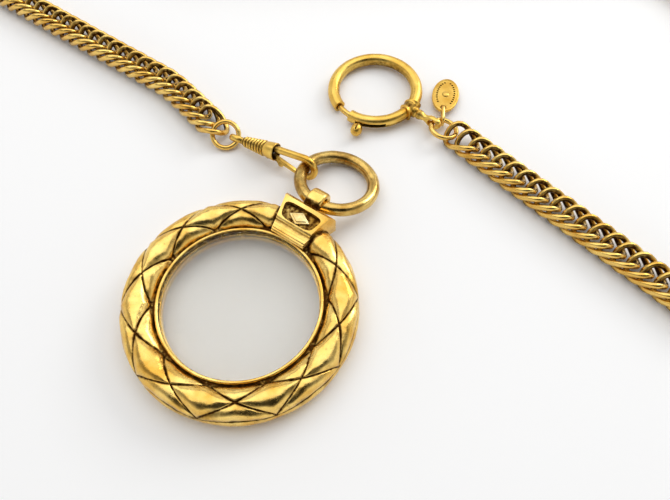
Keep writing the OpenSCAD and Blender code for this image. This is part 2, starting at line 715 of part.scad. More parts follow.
bezel();
lens();
retaining_ring();
crown();
crown_lozenge();
bail_ring();
clip_body();
clip_gate();
clip_gate_pin();
clip_gate_spring();
clip_swivel_eye();
clip_jump_ring();
chain_clip_end();
chain_clip_run();
chain_stored(0);  // chain_stored_1
chain_stored(1);  // chain_stored_2
chain_stored(2);  // chain_stored_3
chain_stored(3);  // chain_stored_4
chain_stored(4);  // chain_stored_5
chain_stored(5);  // chain_stored_6
chain_clasp_run();
chain_clasp_end();
clasp_jump_ring();
clasp_tube();
clasp_collar();
clasp_eye();
clasp_bolt();
clasp_knob();
clasp_spring();
tag_link();
tag_plate();
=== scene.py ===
# %% [markdown]
# # A pendant magnifier on a curb chain
#
# A lens sits in a cast, quilted bezel of gold-plated brass. A crown plate and a loop carry the
# bezel from a plain ring, a swivel clip joins that ring to a long curb chain, and the far end of
# the chain has a round spring clasp and a small oval tag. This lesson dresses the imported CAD
# model: every piece is drawn round the CAD solids, which hold all sizes and places.

# %% Load the CAD model as a fixed frame
from math import atan2, copysign, cos, degrees, exp, hypot, pi, radians, sin, sqrt, tan

import bmesh
import bpy
from mathutils import Matrix, Vector, kdtree, noise


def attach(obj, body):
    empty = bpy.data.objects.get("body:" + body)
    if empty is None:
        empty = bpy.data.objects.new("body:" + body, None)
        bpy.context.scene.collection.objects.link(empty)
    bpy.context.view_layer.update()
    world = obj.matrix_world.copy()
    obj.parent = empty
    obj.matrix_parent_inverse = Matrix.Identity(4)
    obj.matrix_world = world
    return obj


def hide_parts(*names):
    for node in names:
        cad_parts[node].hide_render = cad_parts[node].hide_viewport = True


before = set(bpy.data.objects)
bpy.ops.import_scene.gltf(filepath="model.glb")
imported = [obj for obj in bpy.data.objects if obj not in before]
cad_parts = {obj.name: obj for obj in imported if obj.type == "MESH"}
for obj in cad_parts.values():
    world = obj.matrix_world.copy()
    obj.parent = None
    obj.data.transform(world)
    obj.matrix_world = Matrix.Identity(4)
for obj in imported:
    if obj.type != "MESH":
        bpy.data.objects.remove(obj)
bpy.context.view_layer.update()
scene = bpy.context.scene

# %% [markdown]
# ## The camera
#
# The photograph looks down at about 62 degrees. The focal length and the place were solved from
# the ellipses of the bezel and the clasp, so they are plain numbers here. A short lens close to
# the object gives the same slight perspective.

# %% Camera
FOCAL_PX = 620
PHOTO_WIDTH = 670
SENSOR = 36
CAMERA_AT = (0.02124, -0.0541, 0.1327)
CAMERA_TILT = 27.75
camera_data = bpy.data.cameras.new("camera")
camera_data.sensor_width = SENSOR
camera_data.lens = FOCAL_PX / PHOTO_WIDTH * SENSOR
camera_data.clip_start = 0.005
camera = bpy.data.objects.new("camera", camera_data)
camera.location = CAMERA_AT
camera.rotation_euler = (radians(CAMERA_TILT), 0, 0)
scene.collection.objects.link(camera)
scene.camera = camera
print("Lens in mm:", round(camera_data.lens, 1))

# %% [markdown]
# ## Colours, and one helper for nodes
#
# Colours are written as they look on a screen, as sRGB hex values, and one function turns them
# into the linear values that the shader wants. One small function adds a node with its settings
# and its links. Pattern sizes are given in millimetres, and the noise textures want waves per
# metre, so a second function turns one into the other. Short functions ask that helper for what
# comes again and again: an empty material, its surface, noise, a range, arithmetic and a blend.

# %% Colour and node helpers
def rgb(code):
    """A hex colour as linear red, green, blue and alpha."""
    parts = [int(code[i:i + 2], 16) / 255 for i in (1, 3, 5)]
    return [c / 12.92 if c <= 0.04045 else ((c + 0.055) / 1.055) ** 2.4 for c in parts] + [1.0]


def per_mm(size):
    """The scale of a noise texture whose lumps are this many millimetres wide."""
    return 1000 / size


def add(tree, kind, inputs=None, **settings):
    """Add a node, set its properties, and set or link its inputs."""
    node = tree.nodes.new(kind)
    for key, value in settings.items():
        setattr(node, key, value)
    for socket, value in (inputs or {}).items():
        if isinstance(value, bpy.types.NodeSocket):
            tree.links.new(value, node.inputs[socket])
        else:
            node.inputs[socket].default_value = value
    return node


def blank_material(name):
    """A new material, its emptied node tree, and the place on the object in metres."""
    finish = bpy.data.materials.new(name)
    finish.use_nodes = True
    tree = finish.node_tree
    tree.nodes.clear()
    return finish, tree, add(tree, "ShaderNodeTexCoord").outputs["Object"]


def surface(tree, inputs):
    """The usual shader, joined to the output."""
    shader = add(tree, "ShaderNodeBsdfPrincipled", inputs)
    add(tree, "ShaderNodeOutputMaterial", {"Surface": shader.outputs[0]})


def lumps(tree, place, size_mm, detail):
    """Noise with lumps of this size."""
    return add(tree, "ShaderNodeTexNoise", {
        "Vector": place, "Scale": per_mm(size_mm), "Detail": detail}).outputs["Fac"]


def ranged(tree, value, low, high, to_low, to_high):
    """A value, moved from one range to another."""
    return add(tree, "ShaderNodeMapRange",
               {0: value, 1: low, 2: high, 3: to_low, 4: to_high}).outputs[0]


def combined(tree, operation, a, b):
    """Two values made one."""
    return add(tree, "ShaderNodeMath", {0: a, 1: b}, operation=operation).outputs[0]


def blend(tree, share, a, b):
    """Two colours mixed."""
    return add(tree, "ShaderNodeMix", {0: share, 6: a, 7: b}, data_type="RGBA").outputs[2]


# %% [markdown]
# ## Aged gold plate on brass
#
# The real metal is brass, cast or drawn, then plated and toned, so that a brown film stays in
# the grooves while the high places are rubbed bright. One function makes the finish, because the
# cast bezel, the drawn wire and the rubbed ring differ only in depth of colour, polish and pits.
# The film follows a mesh attribute for film and painted shade, which each piece works out from its
# own grooves, and some pieces also paint shade into it beneath them or in sheltered places.
# Pits and the breaks in the film are noise, with lumps of about half a millimetre and of one.

# %% The plated finish
FILM_AND_SHADE_BROWN, FILM_AND_SHADE_ROUGH, FILM_BREAK_MM, PIT_MM, DENT_M = "#432609", 0.45, 0.9, 0.55, 0.00012


def plated_brass(name, bright, deep, polish, pits, patch_mm, grain_mm, bump):
    """Gold plate on brass: a bright and a deep tone, brown film in grooves and painted shade where
    a piece asks, pits and dents.
    """
    finish, tree, place = blank_material(name)
    # The plate is a little thicker or thinner in patches
    tone = ranged(tree, lumps(tree, place, patch_mm, 4.0), 0.35, 0.7, 0.0, 1.0)
    metal = blend(tree, tone, rgb(bright), rgb(deep))
    # Brown stays in pits and, with ragged edges, in the grooves and in the painted shade that some
    # pieces add
    pitted = ranged(tree, lumps(tree, place, PIT_MM, 3.0), 0.68 - 0.08 * pits, 0.78, 0.0, pits)
    film_and_shade = add(tree, "ShaderNodeAttribute", attribute_name="film_and_shade").outputs["Fac"]
    ragged = combined(tree, "MULTIPLY", film_and_shade, lumps(tree, place, FILM_BREAK_MM, 5.0))
    dirt_and_shade = combined(tree, "MAXIMUM", ranged(tree, ragged, 0.08, 0.42, 0.0, 1.0), pitted)
    # Hand polish leaves soft dents, and the film and painted shade are duller than the plate
    grain = lumps(tree, place, grain_mm, 6.0)
    gloss = ranged(tree, grain, 0.3, 0.7, polish, polish + 0.14)
    rough = add(tree, "ShaderNodeMix", {0: dirt_and_shade, 2: gloss, 3: FILM_AND_SHADE_ROUGH}, data_type="FLOAT")
    dents = add(tree, "ShaderNodeBump", {"Strength": bump, "Distance": DENT_M,
                                         "Height": combined(tree, "SUBTRACT", grain, dirt_and_shade)})
    surface(tree, {"Base Color": blend(tree, dirt_and_shade, metal, rgb(FILM_AND_SHADE_BROWN)), "Metallic": 1.0,
                   "Roughness": rough.outputs[0], "Normal": dents.outputs[0]})
    print("Finish:", name)
    return finish


# Name, bright tone, deep tone, polish, pits, patches in mm, grain in mm, bump
FINISHES = (
    ("cast brass, toned gold plate", "#f4d17a", "#d8a444", 0.18, 0.5, 5.0, 1.3, 0.35),
    ("drawn brass wire, bright gold plate", "#f0cc74", "#d3a246", 0.17, 0.1, 6.0, 1.6, 0.06),
    ("drawn brass ring, rubbed gold plate", "#ebcb78", "#ac8038", 0.15, 0.5, 5.0, 1.3, 0.18),
    ("rolled brass tube, satin gold plate", "#ecc666", "#cf9d3a", 0.24, 0.08, 6.0, 1.6, 0.06),
    ("pressed brass sheet, satin gold plate", "#e6bf60", "#cd9c3c", 0.36, 0.1, 4.0, 0.9, 0.1),
    ("cast brass, plate rubbed to pale metal", "#e6d49c", "#c9a45a", 0.2, 0.4, 2.0, 0.8, 0.3))
cast_gold, wire_gold, worn_gold, clasp_gold, sheet_gold, rubbed_gold = (
    plated_brass(*row) for row in FINISHES)

# %% [markdown]
# ## Lens glass and spring steel
#
# The lens is crown glass, ground and polished. It has no colour of its own, so it takes a plain
# refracting shader. Its light scratches are a faint change of polish. Clear glass hardly darkens
# the card under it, but a renderer that bends every ray leaves a grey shadow there. An alpha of
# one half lets part of the light straight through, as in the photograph. The pin and the springs
# are drawn steel, seen only through slots.

# %% Glass and steel
HAZE_MM, DRAWN_MM, CROWN_GLASS_IOR, CLEAR_PART = 9, 0.4, 1.52, 0.5
# Clear glass that a cloth has wiped in broad patches
glass, tree, place = blank_material("crown glass, ground and polished")
wiped = ranged(tree, lumps(tree, place, HAZE_MM, 5.0), 0.5, 0.8, 0.0, 0.05)
surface(tree, {"Base Color": rgb("#f7f5ee"), "Roughness": wiped, "IOR": CROWN_GLASS_IOR,
               "Specular IOR Level": 0.35, "Transmission Weight": 1.0, "Alpha": 1 - CLEAR_PART})
# Grey steel with the uneven shine of drawn wire
steel, tree, place = blank_material("spring steel, drawn and blued")
drawn = lumps(tree, place, DRAWN_MM, 3.0)
tone = blend(tree, drawn, rgb("#8d8a85"), rgb("#6a655c"))
gloss = ranged(tree, drawn, 0.0, 1.0, 0.25, 0.45)
surface(tree, {"Base Color": tone, "Metallic": 1.0, "Roughness": gloss})
print("Finishes:", glass.name, "and", steel.name)

# %% [markdown]
# ## Helpers for turned, swept and cut shapes
#
# Nearly every piece here is turned on a lathe or bent from wire. Turned shapes start from a few
# points of a profile, which a spin carries round. Bent shapes start from a circle, whose edge is
# extruded step by step along a path. Holes are cut with a Boolean modifier. All of it is drawn in
# millimetres and made metres at the end, because merging works better on sizes near one.

# %% Shape helpers
FULL = 2 * pi
Z_AXIS = Vector((0, 0, 1))
shift = Matrix.Translation


def as_mesh(name, bm):
    """A mesh of this shape, which is used up."""
    mesh = bpy.data.meshes.new(name)
    bm.to_mesh(mesh)
    bm.free()
    return mesh


def as_object(name, data):
    """An object in the scene."""
    obj = bpy.data.objects.new(name, data)
    scene.collection.objects.link(obj)
    return obj


def outward(bm):
    """Turn every face to the outside."""
    bmesh.ops.recalc_face_normals(bm, faces=bm.faces[:])


def turned(x, y, z):
    """A turn about X, then Y, then Z, in degrees."""
    return (Matrix.Rotation(radians(z), 4, "Z") @ Matrix.Rotation(radians(y), 4, "Y")
            @ Matrix.Rotation(radians(x), 4, "X"))


def put(place, turn):
    """A turn in degrees, then a move in millimetres."""
    return shift(Vector(place)) @ turned(*turn)


def spun(bm, steps, angle=FULL):
    """Carry an outline round the Z axis. A full turn closes on itself."""
    bmesh.ops.spin(bm, geom=bm.verts[:] + bm.edges[:], cent=(0, 0, 0), axis=Z_AXIS, dvec=(0, 0, 0),
                   angle=angle, steps=steps, use_merge=angle == FULL, use_duplicate=False)


def moved(bm, matrix):
    """The same shape, put somewhere else."""
    bmesh.ops.transform(bm, matrix=matrix, verts=bm.verts[:])
    return bm


def lathe(profile, steps, axis="Z", closed=False, low=0.0, angle=FULL):
    """Spin a profile of (radius, height) points round an axis."""
    bm = bmesh.new()
    verts = [bm.verts.new((r, 0, h)) for r, h in profile]
    pairs = list(zip(verts, verts[1:])) + ([(verts[-1], verts[0])] if closed else [])
    for a, b in pairs:
        bm.edges.new((a, b))
    bmesh.ops.rotate(bm, cent=(0, 0, 0), matrix=Matrix.Rotation(low, 3, "Z"), verts=bm.verts[:])
    spun(bm, steps, angle)
    bmesh.ops.remove_doubles(bm, verts=bm.verts[:], dist=1e-4)
    if angle != FULL:
        rim = [e for e in bm.edges if e.is_boundary]
        bmesh.ops.holes_fill(bm, edges=rim, sides=0)
    if axis != "Z":
        moved(bm, turned(0, 90, 0) if axis == "X" else turned(90, 0, 0))
    outward(bm)
    return bm


def sweep(path, radii, sides, closed=False):
    """Extrude a circle along a path. The radii may change from point to point."""
    bm = bmesh.new()
    bmesh.ops.create_circle(bm, cap_ends=False, radius=1.0, segments=sides)
    count = len(path)
    tangents = []
    for i in range(count):
        after = path[(i + 1) % count] if closed or i < count - 1 else path[i]
        before = path[i - 1] if closed or i > 0 else path[i]
        tangents.append((after - before).normalized())
    turn = Z_AXIS.rotation_difference(tangents[0]).to_matrix()
    frames = []
    for i in range(count):
        if i:
            turn = tangents[i - 1].rotation_difference(tangents[i]).to_matrix() @ turn
        frames.append(shift(path[i]) @ turn.to_4x4() @ Matrix.Scale(radii[i], 4))
    bmesh.ops.transform(bm, matrix=frames[0], verts=bm.verts[:])
    first = ring = [e for e in bm.edges]
    for i in range(1, count):
        made = bmesh.ops.extrude_edge_only(bm, edges=ring)["geom"]
        fresh = [g for g in made if isinstance(g, bmesh.types.BMVert)]
        bmesh.ops.transform(bm, matrix=frames[i] @ frames[i - 1].inverted(), verts=fresh)
        inside = set(fresh)
        ring = [g for g in made if isinstance(g, bmesh.types.BMEdge)
                and g.verts[0] in inside and g.verts[1] in inside]
    if closed:
        bmesh.ops.bridge_loops(bm, edges=first + ring)
    else:
        bmesh.ops.holes_fill(bm, edges=[e for e in bm.edges if e.is_boundary], sides=0)
    outward(bm)
    return bm


def arc(radius, low, high, steps, centre=(0, 0, 0)):
    """Points on an arc in the XY plane, from one angle to another in degrees."""
    return [Vector(centre) + Vector((radius * cos(a), radius * sin(a), 0))
            for a in (radians(low + (high - low) * i / steps) for i in range(steps + 1))]


def block(points, depth):
    """A flat outline, extruded both ways from the XY plane."""
    bm = bmesh.new()
    corners = [bm.verts.new((x, y, -depth / 2)) for x, y in points]
    face = bmesh.ops.contextual_create(bm, geom=corners)
    made = bmesh.ops.extrude_face_region(bm, geom=face["faces"], use_keep_orig=True)["geom"]
    top = [g for g in made if isinstance(g, bmesh.types.BMVert)]
    bmesh.ops.translate(bm, vec=(0, 0, depth), verts=top)
    outward(bm)
    return bm


def soften(bm, width, segments=3, least=25):
    """Round every edge that is sharper than the least angle."""
    edges = [e for e in bm.edges if len(e.link_faces) == 2
             and degrees(e.calc_face_angle(0)) > least]
    bmesh.ops.bevel(bm, geom=edges, offset=width, offset_type="OFFSET", affect="EDGES",
                    segments=segments, profile=0.5, material=-1, clamp_overlap=True)
    return bm


def joined(*shapes):
    """Several shapes as one."""
    whole = bmesh.new()
    for bm in shapes:
        mesh = as_mesh("part", bm)
        whole.from_mesh(mesh)
        bpy.data.meshes.remove(mesh)
    return whole


def carved(solid, *cutters):
    """Cut shapes away with Boolean modifiers."""
    objects = [as_object("carving", as_mesh("carving", bm)) for bm in (solid,) + cutters]
    for cutter in objects[1:]:
        cut = objects[0].modifiers.new("cut", "BOOLEAN")
        cut.operation = "DIFFERENCE"
        cut.solver = "EXACT"
        cut.object = cutter
    result = bmesh.new()
    result.from_object(objects[0], bpy.context.evaluated_depsgraph_get())
    for obj in objects:
        mesh = obj.data
        bpy.data.objects.remove(obj)
        bpy.data.meshes.remove(mesh)
    bmesh.ops.remove_doubles(result, verts=result.verts[:], dist=1e-4)
    return result


def piece(name, bm, body, finish, *nodes, slot="bright_gold", crease=38, film_and_shade=None):
    """Make metres of it, smooth it, and hand it to its body."""
    if film_and_shade:
        layer = bm.verts.layers.float.new("film_and_shade")
        for v in bm.verts:
            v[layer] = min(1.0, max(0.0, film_and_shade(v.co)))
    bmesh.ops.scale(bm, vec=(0.001, 0.001, 0.001), verts=bm.verts[:])
    for edge in bm.edges:
        edge.smooth = len(edge.link_faces) == 2 and degrees(edge.calc_face_angle(0)) < crease
    for face in bm.faces:
        face.smooth = True
    mesh = as_mesh(name, bm)
    obj = as_object(name, mesh)
    mesh.materials.append(finish)
    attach(obj, body)
    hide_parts(*nodes)
    print(name, "faces:", len(mesh.polygons))
    return obj


# %% [markdown]
# ## The chain: its route and one link
#
# The chain lies in a double curb weave: each link leans across three neighbours. Its route is a
# row of straight runs and bends, the same as in the CAD model, so the solids and the links here
# lie in the same place. One link is a circle spun to a ring, whose points are then moved to a
# twisted oval. It is copied 231 times, so it has only a few dozen faces, and the links that the
# camera sees are finer.

# %% Route of the chain
LINK_A, LINK_B, LINK_WIRE, LINK_TWIST, LINK_PITCH, LINK_Z = 4.65, 3.45, 1.45, 0.21, 3.68, 2.469
# The corners of the route, each with the radius of its bend
CORNERS = [(-8.592, 49.241, 0), (-24, 66, 40), (-84, 106, 17), (-84, 180, 17), (81, 180, 17),
           (81, 146, 17), (-38.3, 146, 17), (-38.3, 112, 17), (131, 112, 17), (131, -28, 17),
           (51.3, 50.3, 0)]


def chain_route():
    """The route's length, and a function that gives the place and heading at a distance."""
    points = [Vector(c[:2]) for c in CORNERS]
    legs = [(after - before).normalized() for before, after in zip(points, points[1:])]
    stretches = []
    start = points[0]
    for i, leg in enumerate(legs):
        bend = -leg.angle_signed(legs[i + 1]) if i < len(legs) - 1 else 0
        radius = CORNERS[i + 1][2]
        back = radius * tan(abs(bend) / 2)
        end = points[i + 1] - leg * back
        stretches.append((start, leg, (end - start).length, 0))
        if bend:
            side = Vector((-leg.y, leg.x)) * (1 if bend > 0 else -1)
            stretches.append((end + side * radius, leg, radius * abs(bend), bend))
            start = points[i + 1] + legs[i + 1] * back

    def place_at(distance):
        for origin, leg, length, bend in stretches[:-1]:
            if distance <= length:
                break
            distance -= length
        else:
            origin, leg, length, bend = stretches[-1]
        heading = atan2(leg.y, leg.x)
        if not bend:
            return origin + leg * distance, heading
        turn = bend * distance / length
        side = Vector((-leg.y, leg.x)) * (-1 if bend > 0 else 1)
        return origin + Matrix.Rotation(turn, 2) @ side * (length / abs(bend)), heading + turn

    return sum(stretch[2] for stretch in stretches), place_at


route_length, route_at = chain_route()
link_count = int((route_length - 2 * LINK_A) // LINK_PITCH) + 1
print("Route in mm:", round(route_length, 1), "links:", link_count)


# %% One link, and all of them
def link_mesh(rings, sides):
    """A ring spun from a circle, moved to the twisted oval of a curb link."""
    bm = bmesh.new()
    bmesh.ops.create_circle(bm, cap_ends=False, radius=LINK_WIRE / 2, segments=sides,
                            matrix=shift((LINK_A, 0, 0)) @ turned(90, 0, 0))
    spun(bm, rings)
    for v in bm.verts:
        t = atan2(v.co.y, v.co.x)
        out, up = hypot(v.co.x, v.co.y) - LINK_A, v.co.z
        c, s = cos(t), sin(t)
        centre = Vector((LINK_A * c, LINK_B * s, -LINK_TWIST * LINK_A * LINK_B * s * c))
        along = Vector((-LINK_A * s, LINK_B * c, -LINK_TWIST * LINK_A * LINK_B * cos(2 * t)))
        along.normalize()
        side = Vector((LINK_B * c, LINK_A * s, 0))
        side = (side - along * side.dot(along)).normalized()
        rise = side.cross(along) * (1 if side.cross(along).z > 0 else -1)
        v.co = centre + side * out + rise * up
    # Brown film mixed with painted shade in each link's hole, and painted shade on its underside
    layer = bm.verts.layers.float.new("film_and_shade")
    for v in bm.verts:
        inner = hypot(v.co.x / LINK_A, v.co.y / LINK_B)
        in_hole = max(0.0, min(0.9, (1.0 - inner) * 5))
        beneath = max(0.0, min(0.6, (-v.co.z - 0.35) * 0.5))
        v[layer] = in_hole + beneath
    outward(bm)
    return as_mesh("link", bm)


SEEN_AT_CLIP, SEEN_AT_CLASP, SWAY = 26, 24, 0.02
fine, plain = link_mesh(28, 12), link_mesh(14, 6)
links = bmesh.new()
for i in range(link_count):
    near = i < SEEN_AT_CLIP or i >= link_count - SEEN_AT_CLASP
    centre, heading = route_at(LINK_A + i * LINK_PITCH)
    copy = (fine if near else plain).copy()
    lean = SWAY * sin(i * 2.1)
    copy.transform(shift((centre.x, centre.y, LINK_Z))
                   @ Matrix.Rotation(heading + lean, 4, "Z"))
    links.from_mesh(copy)
    bpy.data.meshes.remove(copy)
stored = [f"chain_stored_{i}" for i in range(1, 7)]
chain = piece("chain", links, "chain", wire_gold, "chain_clip_end", "chain_clip_run", *stored,
              "chain_clasp_run", "chain_clasp_end", slot="chain_gold")

CHAIN_WIDTH, CHAIN_STEPS = 2 * LINK_B + LINK_WIRE, 140
spots = [route_at(route_length * i / CHAIN_STEPS)[0] for i in range(CHAIN_STEPS + 1)]
print("Chain in metres:", round(route_length / 1000, 3))

# %% [markdown]
# ## The quilted bezel
#
# The bezel is a thick tube bent to a ring, with a thin rim on its inner side that holds the lens.
# Engraved lines cross it and leave ten puffed diamonds. Its profile is spun round in fine steps,
# and then each point of the tube is sunk by its distance from the nearest line. The distances
# come from a tree of points along the lines, and the brown film follows the same distance.

# %% Lines of the quilting
RING_R, TUBE_R, TUBE_Z = 22.95, 4.05, 3.65
RIM_R, SEAT_R, SEAT_TOP, RIM_TOP, FLANGE_LOW = 18.0, 18.5, 4.9, 5.7, 1.5
DIAMONDS = 10
STEP = 360 / DIAMONDS
LINE_STEPS, SEAM_STEPS, SEAM_RISE, SEAM_WAVE, SEAM_DRIFT = 260, 1400, 0.75, 0.4, 0.08
CROWN_ANGLE, CROWN_IN, CROWN_OUT, CROWN_Z, HALF_IN, HALF_OUT = 56.5, 18.3, 28.3, 8.65, 4.6, 7.0
to_crown = turned(0, 0, CROWN_ANGLE)


def half_width(x):
    """Half the width of the crown at this distance from the middle of the lens."""
    return HALF_IN + (HALF_OUT - HALF_IN) * (x - CROWN_IN) / (CROWN_OUT - CROWN_IN)


def polar(radius, turn):
    """A point at this distance from the middle and at this angle."""
    a = radians(turn)
    return Vector((radius * cos(a), radius * sin(a)))


def circle_through(a, b, c):
    """The middle of the circle through three points."""
    d = 2 * (a.x * (b.y - c.y) + b.x * (c.y - a.y) + c.x * (a.y - b.y))
    x = (a.dot(a) * (b.y - c.y) + b.dot(b) * (c.y - a.y) + c.dot(c) * (a.y - b.y)) / d
    y = (a.dot(a) * (c.x - b.x) + b.dot(b) * (a.x - c.x) + c.dot(c) * (b.x - a.x)) / d
    return Vector((x, y))


def on_tube(radius):
    """Height of the tube's upper face at this distance from the middle."""
    return TUBE_Z + sqrt(max(0.0, TUBE_R ** 2 - (radius - RING_R) ** 2))


line_points = []
inner, outer = polar(RING_R - TUBE_R, 0), polar(RING_R + TUBE_R, STEP)
hub = circle_through(inner, polar(RING_R, STEP / 2), outer)
first, last = inner - hub, outer - hub
swing = -first.angle_signed(last)
for i in range(DIAMONDS):
    onward = Matrix.Rotation(radians(CROWN_ANGLE + STEP * (i + 0.5)), 2)
    for mirror in (1, -1):
        for k in range(LINE_STEPS + 1):
            p = hub + Matrix.Rotation(swing * k / LINE_STEPS, 2) @ first
            spot = onward @ Vector((p.x, p.y * mirror))
            line_points.append((spot.x, spot.y, on_tube(spot.length)))
for k in range(SEAM_STEPS):
    a = FULL * k / SEAM_STEPS
    corners = cos(DIAMONDS * (a - radians(CROWN_ANGLE + STEP / 2)))
    z = TUBE_Z + SEAM_RISE - SEAM_WAVE * corners + SEAM_DRIFT * sin(3 * a)
    r = RING_R + sqrt(TUBE_R ** 2 - (z - TUBE_Z) ** 2)
    line_points.append((r * cos(a), r * sin(a), z))
line_tree = kdtree.KDTree(len(line_points))
for i, p in enumerate(line_points):
    line_tree.insert(p, i)
line_tree.balance()
print("Points on the engraved lines:", len(line_points))

# %% Bezel
# SKIN keeps the highest dents under the CAD surface, and FOOT is half the flat foot of the tube
GROOVE_HALF, GROOVE_DEPTH, PUFF_WIDTH, PUFF_DEPTH, SKIN = 0.25, 0.36, 1.15, 0.4, 0.06
QUILT_FROM, QUILT_TO, QUILT_FADE, FOOT = -50, 158, 30, 1.755


def tent(away, width):
    """One at a line, falling to nothing at this width from it."""
    return max(0.0, 1 - abs(away) / width)


def tube_at(turn):
    """The radius and height of the tube's section at this angle from its outer side."""
    a = radians(turn)
    return RING_R + TUBE_R * cos(a), TUBE_Z + TUBE_R * sin(a)


def bezel_shape():
    """The tube's section with its flat foot, the lens seat and the rim, spun round."""
    tube = [tube_at(157 - 2.6 * i) for i in range(82)] + [tube_at(-60)]
    under = [(RING_R + FOOT, 0), (RING_R, 0), (RING_R - FOOT, 0)]
    under += [tube_at(a) for a in (236, 224, 213)]
    rim = [(SEAT_R, FLANGE_LOW), (SEAT_R, SEAT_TOP), (RIM_R, SEAT_TOP), (RIM_R, RIM_TOP - 0.25),
           (RIM_R + 0.08, RIM_TOP - 0.08), (RIM_R + 0.22, RIM_TOP), (RIM_R + 0.55, RIM_TOP),
           (RIM_R + 0.72, RIM_TOP - 0.1), (RIM_R + 0.85, RIM_TOP - 0.75),
           (RIM_R + 1.0, RIM_TOP - 0.8)]
    return lathe(tube + under + rim, 720, closed=True)


def quilt(bm):
    """Sink the tube's points by their distance from the engraved lines."""
    layer = bm.verts.layers.float.new("film_and_shade")
    for v in bm.verts:
        radius = hypot(v.co.x, v.co.y)
        angle = degrees(atan2(v.co.z - TUBE_Z, radius - RING_R))
        reach = hypot(v.co.z - TUBE_Z, radius - RING_R)
        if abs(reach - TUBE_R) > 0.02 or not QUILT_FROM < angle < QUILT_TO:
            # Off the quilted face, the rim's groove gets brown film and its inner wall above the
            # lens gets painted shade
            in_groove = RIM_R + 0.75 < radius < RIM_R + 1.1 and v.co.z > RIM_TOP - 0.9
            on_wall = radius < RIM_R + 0.6 and v.co.z < RIM_TOP - 0.2
            v[layer] = 1.0 if in_groove else 0.75 if on_wall else 0.1
            continue
        gap = line_tree.find(v.co)[2]
        fade = min(1.0, (angle - QUILT_FROM) / QUILT_FADE)
        rough = noise.noise(v.co * 0.9)
        width = GROOVE_HALF * (1 + 0.5 * noise.noise(v.co * 0.55 + Vector((7, 3, 1))))
        groove = GROOVE_DEPTH * tent(gap, width)
        puff = PUFF_DEPTH * exp(-(gap / PUFF_WIDTH) ** 2)
        dent = 0.05 * noise.noise(v.co * 0.5) + 0.025 * rough
        out = Vector((v.co.x / radius * (radius - RING_R), v.co.y / radius * (radius - RING_R),
                      v.co.z - TUBE_Z)).normalized()
        v.co -= out * (groove + puff - dent + SKIN) * fade
        stain = tent(gap, 2) * max(0.0, noise.noise(v.co * 0.3) * 2)
        beside_rim = max(0.0, 1 - (radius - RIM_R - 1) / 0.45)
        beside_rim *= 0.7 + 0.9 * noise.noise(v.co * 0.22)
        near = to_crown.inverted() @ v.co
        beside_crown = max(0.0, 1.2 - abs(abs(near.y) - half_width(near.x)) / 0.7) * (near.x > 0)
        line = exp(-(gap / (width * 0.85)) ** 2)
        v[layer] = min(1.0, max(line, beside_crown) + 0.42 * stain + beside_rim + 0.08)


bezel_mesh = bezel_shape()
quilt(bezel_mesh)
piece("bezel_quilted", bezel_mesh, "magnifier", cast_gold, "bezel", slot="cast_gold", crease=60)

# %% [markdown]
# ## The lens and its snap ring
#
# The lens is a double-convex disc with a ground edge. It is spun from half of its section, and the
# snap ring behind it is a flat wire with a gap.

# %% Lens and snap ring
LENS_R, LENS_EDGE, LENS_RISE, LENS_Z = 18.4, 1.9, 1.5, 3.85
SNAP_IN, SNAP_OUT, SNAP_LOW, SNAP_HIGH, SNAP_GAP = 17.67, 18.47, 1.70, 2.80, 6
ball = (LENS_R ** 2 + LENS_RISE ** 2) / (2 * LENS_RISE)
upper = [LENS_R * sin(pi / 2 * i / 16) for i in range(17)]
dome = [(r, LENS_Z + LENS_EDGE / 2 + LENS_RISE - ball + sqrt(ball ** 2 - r ** 2))
        for r in upper]
bowl = [(r, 2 * LENS_Z - h) for r, h in reversed(dome)]
piece("lens_glass", lathe(dome + bowl, 144), "magnifier", glass, "lens", slot="lens_glass")

snap = [(SNAP_IN, SNAP_LOW), (SNAP_OUT, SNAP_LOW), (SNAP_OUT, SNAP_HIGH), (SNAP_IN, SNAP_HIGH)]
snap_low = radians(CROWN_ANGLE + 180 + SNAP_GAP / 2)
snap_mesh = lathe(snap, 140, closed=True, low=snap_low, angle=radians(360 - SNAP_GAP))
piece("snap_ring", soften(snap_mesh, 0.12, 2, 60), "magnifier", wire_gold, "retaining_ring")

# %% [markdown]
# ## The crown and its loop
#
# The crown is a small cast saddle over the tube, wider at its outer end, with a rounded bar along
# its lens side and a sunk panel on top. A plain raised lozenge fills the panel. The section is
# drawn as a flat face and extruded across, then its sides are spread to the wedge and every edge
# is rounded. The loop is a strap turned round its own axis, with its top rubbed flat.

# %% Crown
FRONT_X, FRONT_Z, PANEL_X, PANEL_HALF, PANEL_EDGE = 19.3, 6.5, 23.6, 2.25, 1.1
EAR_X, EAR_RISE, EAR_SPREAD = 26.9, 1.1, 2.4
SQUARISH = 0.45  # one would make the panel an ellipse, and less makes its corners fuller


